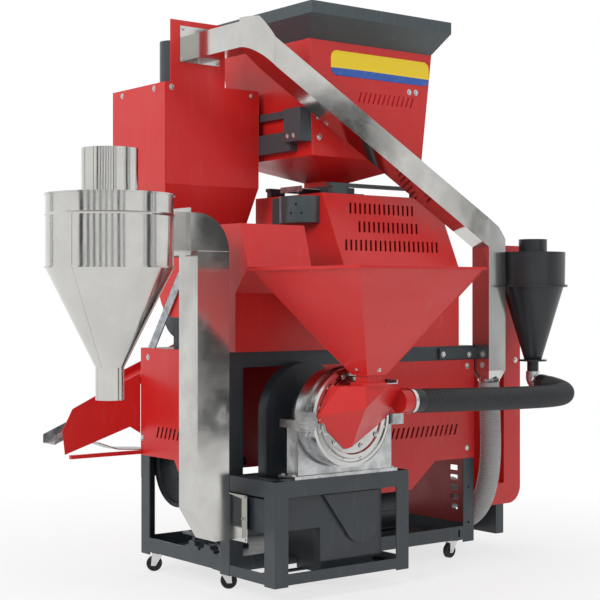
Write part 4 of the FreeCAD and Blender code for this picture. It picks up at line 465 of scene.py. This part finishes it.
# The way the heads face, their radius, and the places they sit at: panels, hopper and bin
# from four sides, then the flange on the bin's upright, then the grinder's feet.
BOLTS = [(LEFT, 6.5, [(0, 424, 1564), (0, 624, 1562), (-2, 458, 694), (-2, 493, 429),
                      (-2, 142, 694), (354, 150, 1412), (354, 182, 1412)]),
         (FRONT, 6.5, [(26, 360, 1565), (342, 360, 1562), (992, -2, 374), (992, -2, 655),
                       (272, -2, 655), (600, -2, 655), (825, 110, 1590), (855, 110, 1591),
                       (426, 110, 1473), (432, 110, 1410), (874, -8, 696), (996, -8, 693),
                       (1285, 52, 665)]),
         (RIGHT, 6.5, [(370, 424, 1564), (370, 624, 1562), (1027, 40, 690), (1027, 460, 690),
                       (1027, 40, 130), (1027, 460, 130)]),
         (BACK, 6.5, [(30, 688, 1564), (340, 688, 1562), (40, 506, 690), (985, 506, 690),
                      (40, 506, 320), (985, 506, 320), (510, 506, 690)]),
         (FRONT, 4.5, [(x, 363, z) for x in (69, 204) for z in (1658, 1757)] + [(136, 363, 1658)]),
         (UP, 6.0, [(x, y, 365) for x in (86, 466) for y in (-206, -154)])]
mesh = bmesh.new()
for axis, radius, places in BOLTS:
    for place in places:
        bolt(mesh, mm(*place), axis, radius)
# Two on the leaning walls under the feed hopper, then the riser duct's lower and upper flange.
lean = math.radians(33)
bolt(mesh, mm(204, -349, 678), Vector((-math.cos(lean), 0, -math.sin(lean))), 4.5)
bolt(mesh, mm(250, -395, 678), Vector((0, -math.cos(lean), -math.sin(lean))), 4.5)
LOWER_FLANGE_X, UPPER_FLANGE_X = -9.5, -205.5
for y in (-97, 15):
    for z in (174, 236, 299):
        bolt(mesh, mm(LOWER_FLANGE_X, y, z), LEFT, 3.6)
    for z in (1015, 1078, 1139):
        bolt(mesh, mm(UPPER_FLANGE_X, y, z), RIGHT, 3.6)
piece("frame_bolts", mesh, BRIGHT, "frame")

mesh = bmesh.new()
# Bolts of the faceted cover, then the ring of them round the door.
COVER_FACE, RING_FACE, RING_RADIUS, RING_BOLTS = -282, -276.5, 125, 12
for x, z in ((171, 627), (154, 579), (124, 537), (142, 492), (177, 463), (279, 450), (336, 480),
             (372, 540), (330, 640)):
    bolt(mesh, mm(x, COVER_FACE, z), FRONT, 5.0)
for n in range(RING_BOLTS):
    angle = math.radians(15 + 360 / RING_BOLTS * n)
    bolt(mesh, mm(GRINDER_X + RING_RADIUS * math.cos(angle), RING_FACE,
                  GRINDER_Z + RING_RADIUS * math.sin(angle)), FRONT, 4.0)
piece("door_bolts", mesh, BRIGHT, "frame")


# ---------------------------------------------------------------- blank plate on the hopper
PLATE_LEFT, PLATE_RIGHT, PLATE_LOW, PLATE_HIGH, PLATE_CORNER = 481, 915, 1617, 1699, 24
BAND = 1.637    # height in metres where the blue band meets the yellow


def rounded_outline(x0, x1, z0, z1, radius, steps=8):
    """Points of an upright rectangle with round corners."""
    points = []
    for cx, cz, turn in ((x1 - radius, z1 - radius, 0), (x0 + radius, z1 - radius, 90),
                         (x0 + radius, z0 + radius, 180), (x1 - radius, z0 + radius, 270)):
        for n in range(steps + 1):
            angle = math.radians(turn + 90 * n / steps)
            points.append((cx + radius * math.cos(angle), cz + radius * math.sin(angle)))
    return points


def blank_plate():
    """Plate with nothing on it but a waved blue band under the yellow."""
    mesh = bmesh.new()
    rings = []
    for shrink, out in ((0, 0), (0, 1.4), (0.8, 2.2)):
        outline = rounded_outline(PLATE_LEFT + shrink, PLATE_RIGHT - shrink, PLATE_LOW + shrink,
                                  PLATE_HIGH - shrink, PLATE_CORNER - shrink)
        rings.append([mesh.verts.new(mm(x, HOPPER_FRONT - out, z)) for x, z in outline])
    for low, high in zip(rings, rings[1:]):
        for n in range(len(low)):
            m = (n + 1) % len(low)
            mesh.faces.new((low[n], low[m], high[m], high[n]))
    mesh.faces.new(rings[-1])
    bmesh.ops.recalc_face_normals(mesh, faces=mesh.faces)
    material, t, shader = start("plate_enamel")
    spot = t.add("ShaderNodeSeparateXYZ", {0: t.add("ShaderNodeTexCoord").outputs["Object"]})
    slope = t.math("MULTIPLY", spot.outputs[0], 0.010)
    bend = t.math("SINE", t.math("MULTIPLY", spot.outputs[0], 7.0))
    level = t.math("SUBTRACT", spot.outputs[2], t.math("MULTIPLY", bend, 0.003))
    level = t.math("SUBTRACT", level, slope)
    split = t.ramp(level, BAND - 0.0005, BAND + 0.0005)
    shade = t.mix(split, linear((46, 92, 176)), linear((248, 214, 40)))
    speck = t.noise(t.coords(), 60, 4)
    t.link(t.mix(t.ramp(speck, 0.5, 0.8, 0.0, 0.12), shade, (0.8, 0.78, 0.7)),
                     shader.inputs["Base Color"])
    shader.inputs["Roughness"].default_value = 0.35
    piece("blank_plate", mesh, material, "frame")


blank_plate()


# ---------------------------------------------------------------- seams and welds
def seam(mesh, points, radius):
    """Thin bead of weld or folded edge through points in millimetres."""
    tube(mesh, [mm(*p) for p in points], [radius] * len(points), 8)


# (radius, height) at both ends of the steel cyclone's joints: drum, cone and stack.
CYCLONE_JOINTS = (((171.4, 968), (171.4, 1104)), ((171, 965), (39, 699)),
                  ((76.3, 1163), (76.3, 1286)))

# Folded edges of the elevator duct and the riser duct, then the cyclone's joints on two sides.
mesh = bmesh.new()
for points in ([(177, 5, 1603), (177, 5, 1688), (177, 83, 1690)],
               [(1028, -70, 1061), (1028, -70, 1158)], [(1028, -70, 1061), (1077, -70, 1130)],
               [(1028, -70, 638), (1108, -70, 638)],
               [(-172, -90.2, 1021), (-66, -90.2, 1021)]):
    seam(mesh, points, 0.0009)
centre = Vector((CYCLONE_X, CYCLONE_Y, 0))
for angle in (205, 20):
    out = Vector((math.cos(math.radians(angle)), math.sin(math.radians(angle)), 0))
    for ends in CYCLONE_JOINTS:
        seam(mesh, [tuple(centre + out * radius + Z * z) for radius, z in ends], 0.0012)
piece("duct_seams", mesh, STEEL, "frame")

# Corners of the paddy hopper, the bran bin, the feed hopper and the huller.
mesh = bmesh.new()
for points in ([(404, HOPPER_FRONT, 1349), (390, HOPPER_FRONT, 1726)],
               [(880, HOPPER_FRONT, 1349), (927, HOPPER_FRONT, 1726)],
               [(0, 360, 1254), (0, 360, 1580)], [(370, 360, 1254), (370, 360, 1580)],
               [(474, -595, 968), (305, -404, 692)], [(7, -595, 968), (195, -404, 692)],
               [(7, -103, 968), (195, -294, 692)], [(446, 0, 990), (446, 110, 1230)]):
    seam(mesh, points, 0.0010)
piece("welded_seams", mesh, RED, "frame")


# ---------------------------------------------------------------- surroundings
def world_light():
    """White where it is looked at, and a dimmer white as light."""
    world = bpy.data.worlds.new("studio")
    scene.world = world
    world.use_nodes = True
    t = Tree(world.node_tree)
    shade = world.node_tree.nodes["Background"]
    shade.inputs[0].default_value = (1, 1, 1, 1)
    t.link(t.ramp(t.looked_at(), 0, 1, 0.36, 1.0), shade.inputs[1])


def floor():
    """Pale ground that catches the shadow and fades to white away from the machine."""
    mesh = bmesh.new()
    bmesh.ops.create_circle(mesh, cap_ends=True, segments=96, radius=6)
    data = bpy.data.meshes.new("floor")
    mesh.to_mesh(data)
    mesh.free()
    material, t, shader = start("floor")
    shader.inputs["Base Color"].default_value = (0.86, 0.86, 0.86, 1)
    shader.inputs["Roughness"].default_value = 0.9
    spot = t.add("ShaderNodeTexCoord").outputs["Object"]
    far = t.add("ShaderNodeVectorMath", {0: spot}, operation="LENGTH").outputs["Value"]
    part = t.math("MULTIPLY", t.looked_at(), t.ramp(far, 0.9, 2.3, 0.72, 1.0))
    glow = t.add("ShaderNodeEmission", {"Color": (1, 1, 1, 1), "Strength": 1.0}).outputs[0]
    blend = t.add("ShaderNodeMixShader", {0: part, 1: shader.outputs[0], 2: glow}).outputs[0]
    output = material.node_tree.nodes["Material Output"]
    t.link(blend, output.inputs[0])
    data.materials.append(material)
    ground = bpy.data.objects.new("floor", data)
    ground.location = (0, 0, -0.0005)
    scene.collection.objects.link(ground)


def reflection_sheet(name, place, width, low, high, tone):
    """Dark glowing sheet out of view, seen by mirror rays alone, which faces the machine: a painted
    reflection.
    """
    x, y = place
    mesh = bmesh.new()
    bmesh.ops.create_grid(mesh, x_segments=1, y_segments=1, size=0.5)
    data = bpy.data.meshes.new(name)
    mesh.to_mesh(data)
    mesh.free()
    material, t, shader = start(name)
    grey = t.add("ShaderNodeEmission", {"Color": (tone, tone * 1.02, tone * 1.07, 1)}).outputs[0]
    clear = t.add("ShaderNodeBsdfTransparent").outputs[0]
    seen = t.add("ShaderNodeLightPath").outputs["Is Glossy Ray"]
    blend = t.add("ShaderNodeMixShader", {0: seen, 1: clear, 2: grey}).outputs[0]
    t.link(blend, material.node_tree.nodes["Material Output"].inputs[0])
    data.materials.append(material)
    thing = bpy.data.objects.new(name, data)
    thing.location = (x, y, (low + high) / 2)
    thing.rotation_euler = (math.radians(90), 0, math.atan2(-x, y))
    thing.scale = (width, high - low, 1)
    thing.visible_shadow = False
    scene.collection.objects.link(thing)


# Each sheet of painted reflection round the drum: degrees from the line of sight, width in metres,
# and brightness.
DRUM_REFLECTION_SHEETS = ((-43, 0.62, 0.030), (-30, 0.42, 0.16), (-19, 0.34, 0.05), (-8, 0.36, 0.22),
               (2, 0.22, 0.04), (12, 0.30, 0.30), (23, 0.36, 0.06), (32, 0.26, 0.22),
               (70, 0.12, 0.05), (88, 0.16, 0.06), (-120, 0.20, 0.10))
REFLECTION_SHEET_DISTANCE = 4.8


def painted_reflection_sheets():
    """Painted reflections: dim glowing sheets behind the camera, which make the dark bands that the
    drum and the ducts mirror.
    """
    toward = -LOOK.xy
    right = Vector((LOOK.y, -LOOK.x))
    drum = mm(CYCLONE_X, CYCLONE_Y, 0).xy
    for n, (turn, width, tone) in enumerate(DRUM_REFLECTION_SHEETS):
        angle = math.radians(turn)
        spot = drum + (toward * math.cos(angle) + right * math.sin(angle)) * REFLECTION_SHEET_DISTANCE
        reflection_sheet("board_%d" % n, spot, width, 0.55, 2.1, tone)
    # More sheets of painted reflection, for the riser duct, its side and a slope.
    reflection_sheet("board_riser", (1.62, -2.95), 0.62, 0.10, 2.0, 0.055)
    reflection_sheet("board_riser_side", (-2.30, 2.30), 0.14, 0.0, 2.2, 0.10)
    reflection_sheet("board_slope", (3.35, -2.9), 0.5, 0.2, 3.0, 0.42)


world_light()
floor()
painted_reflection_sheets()
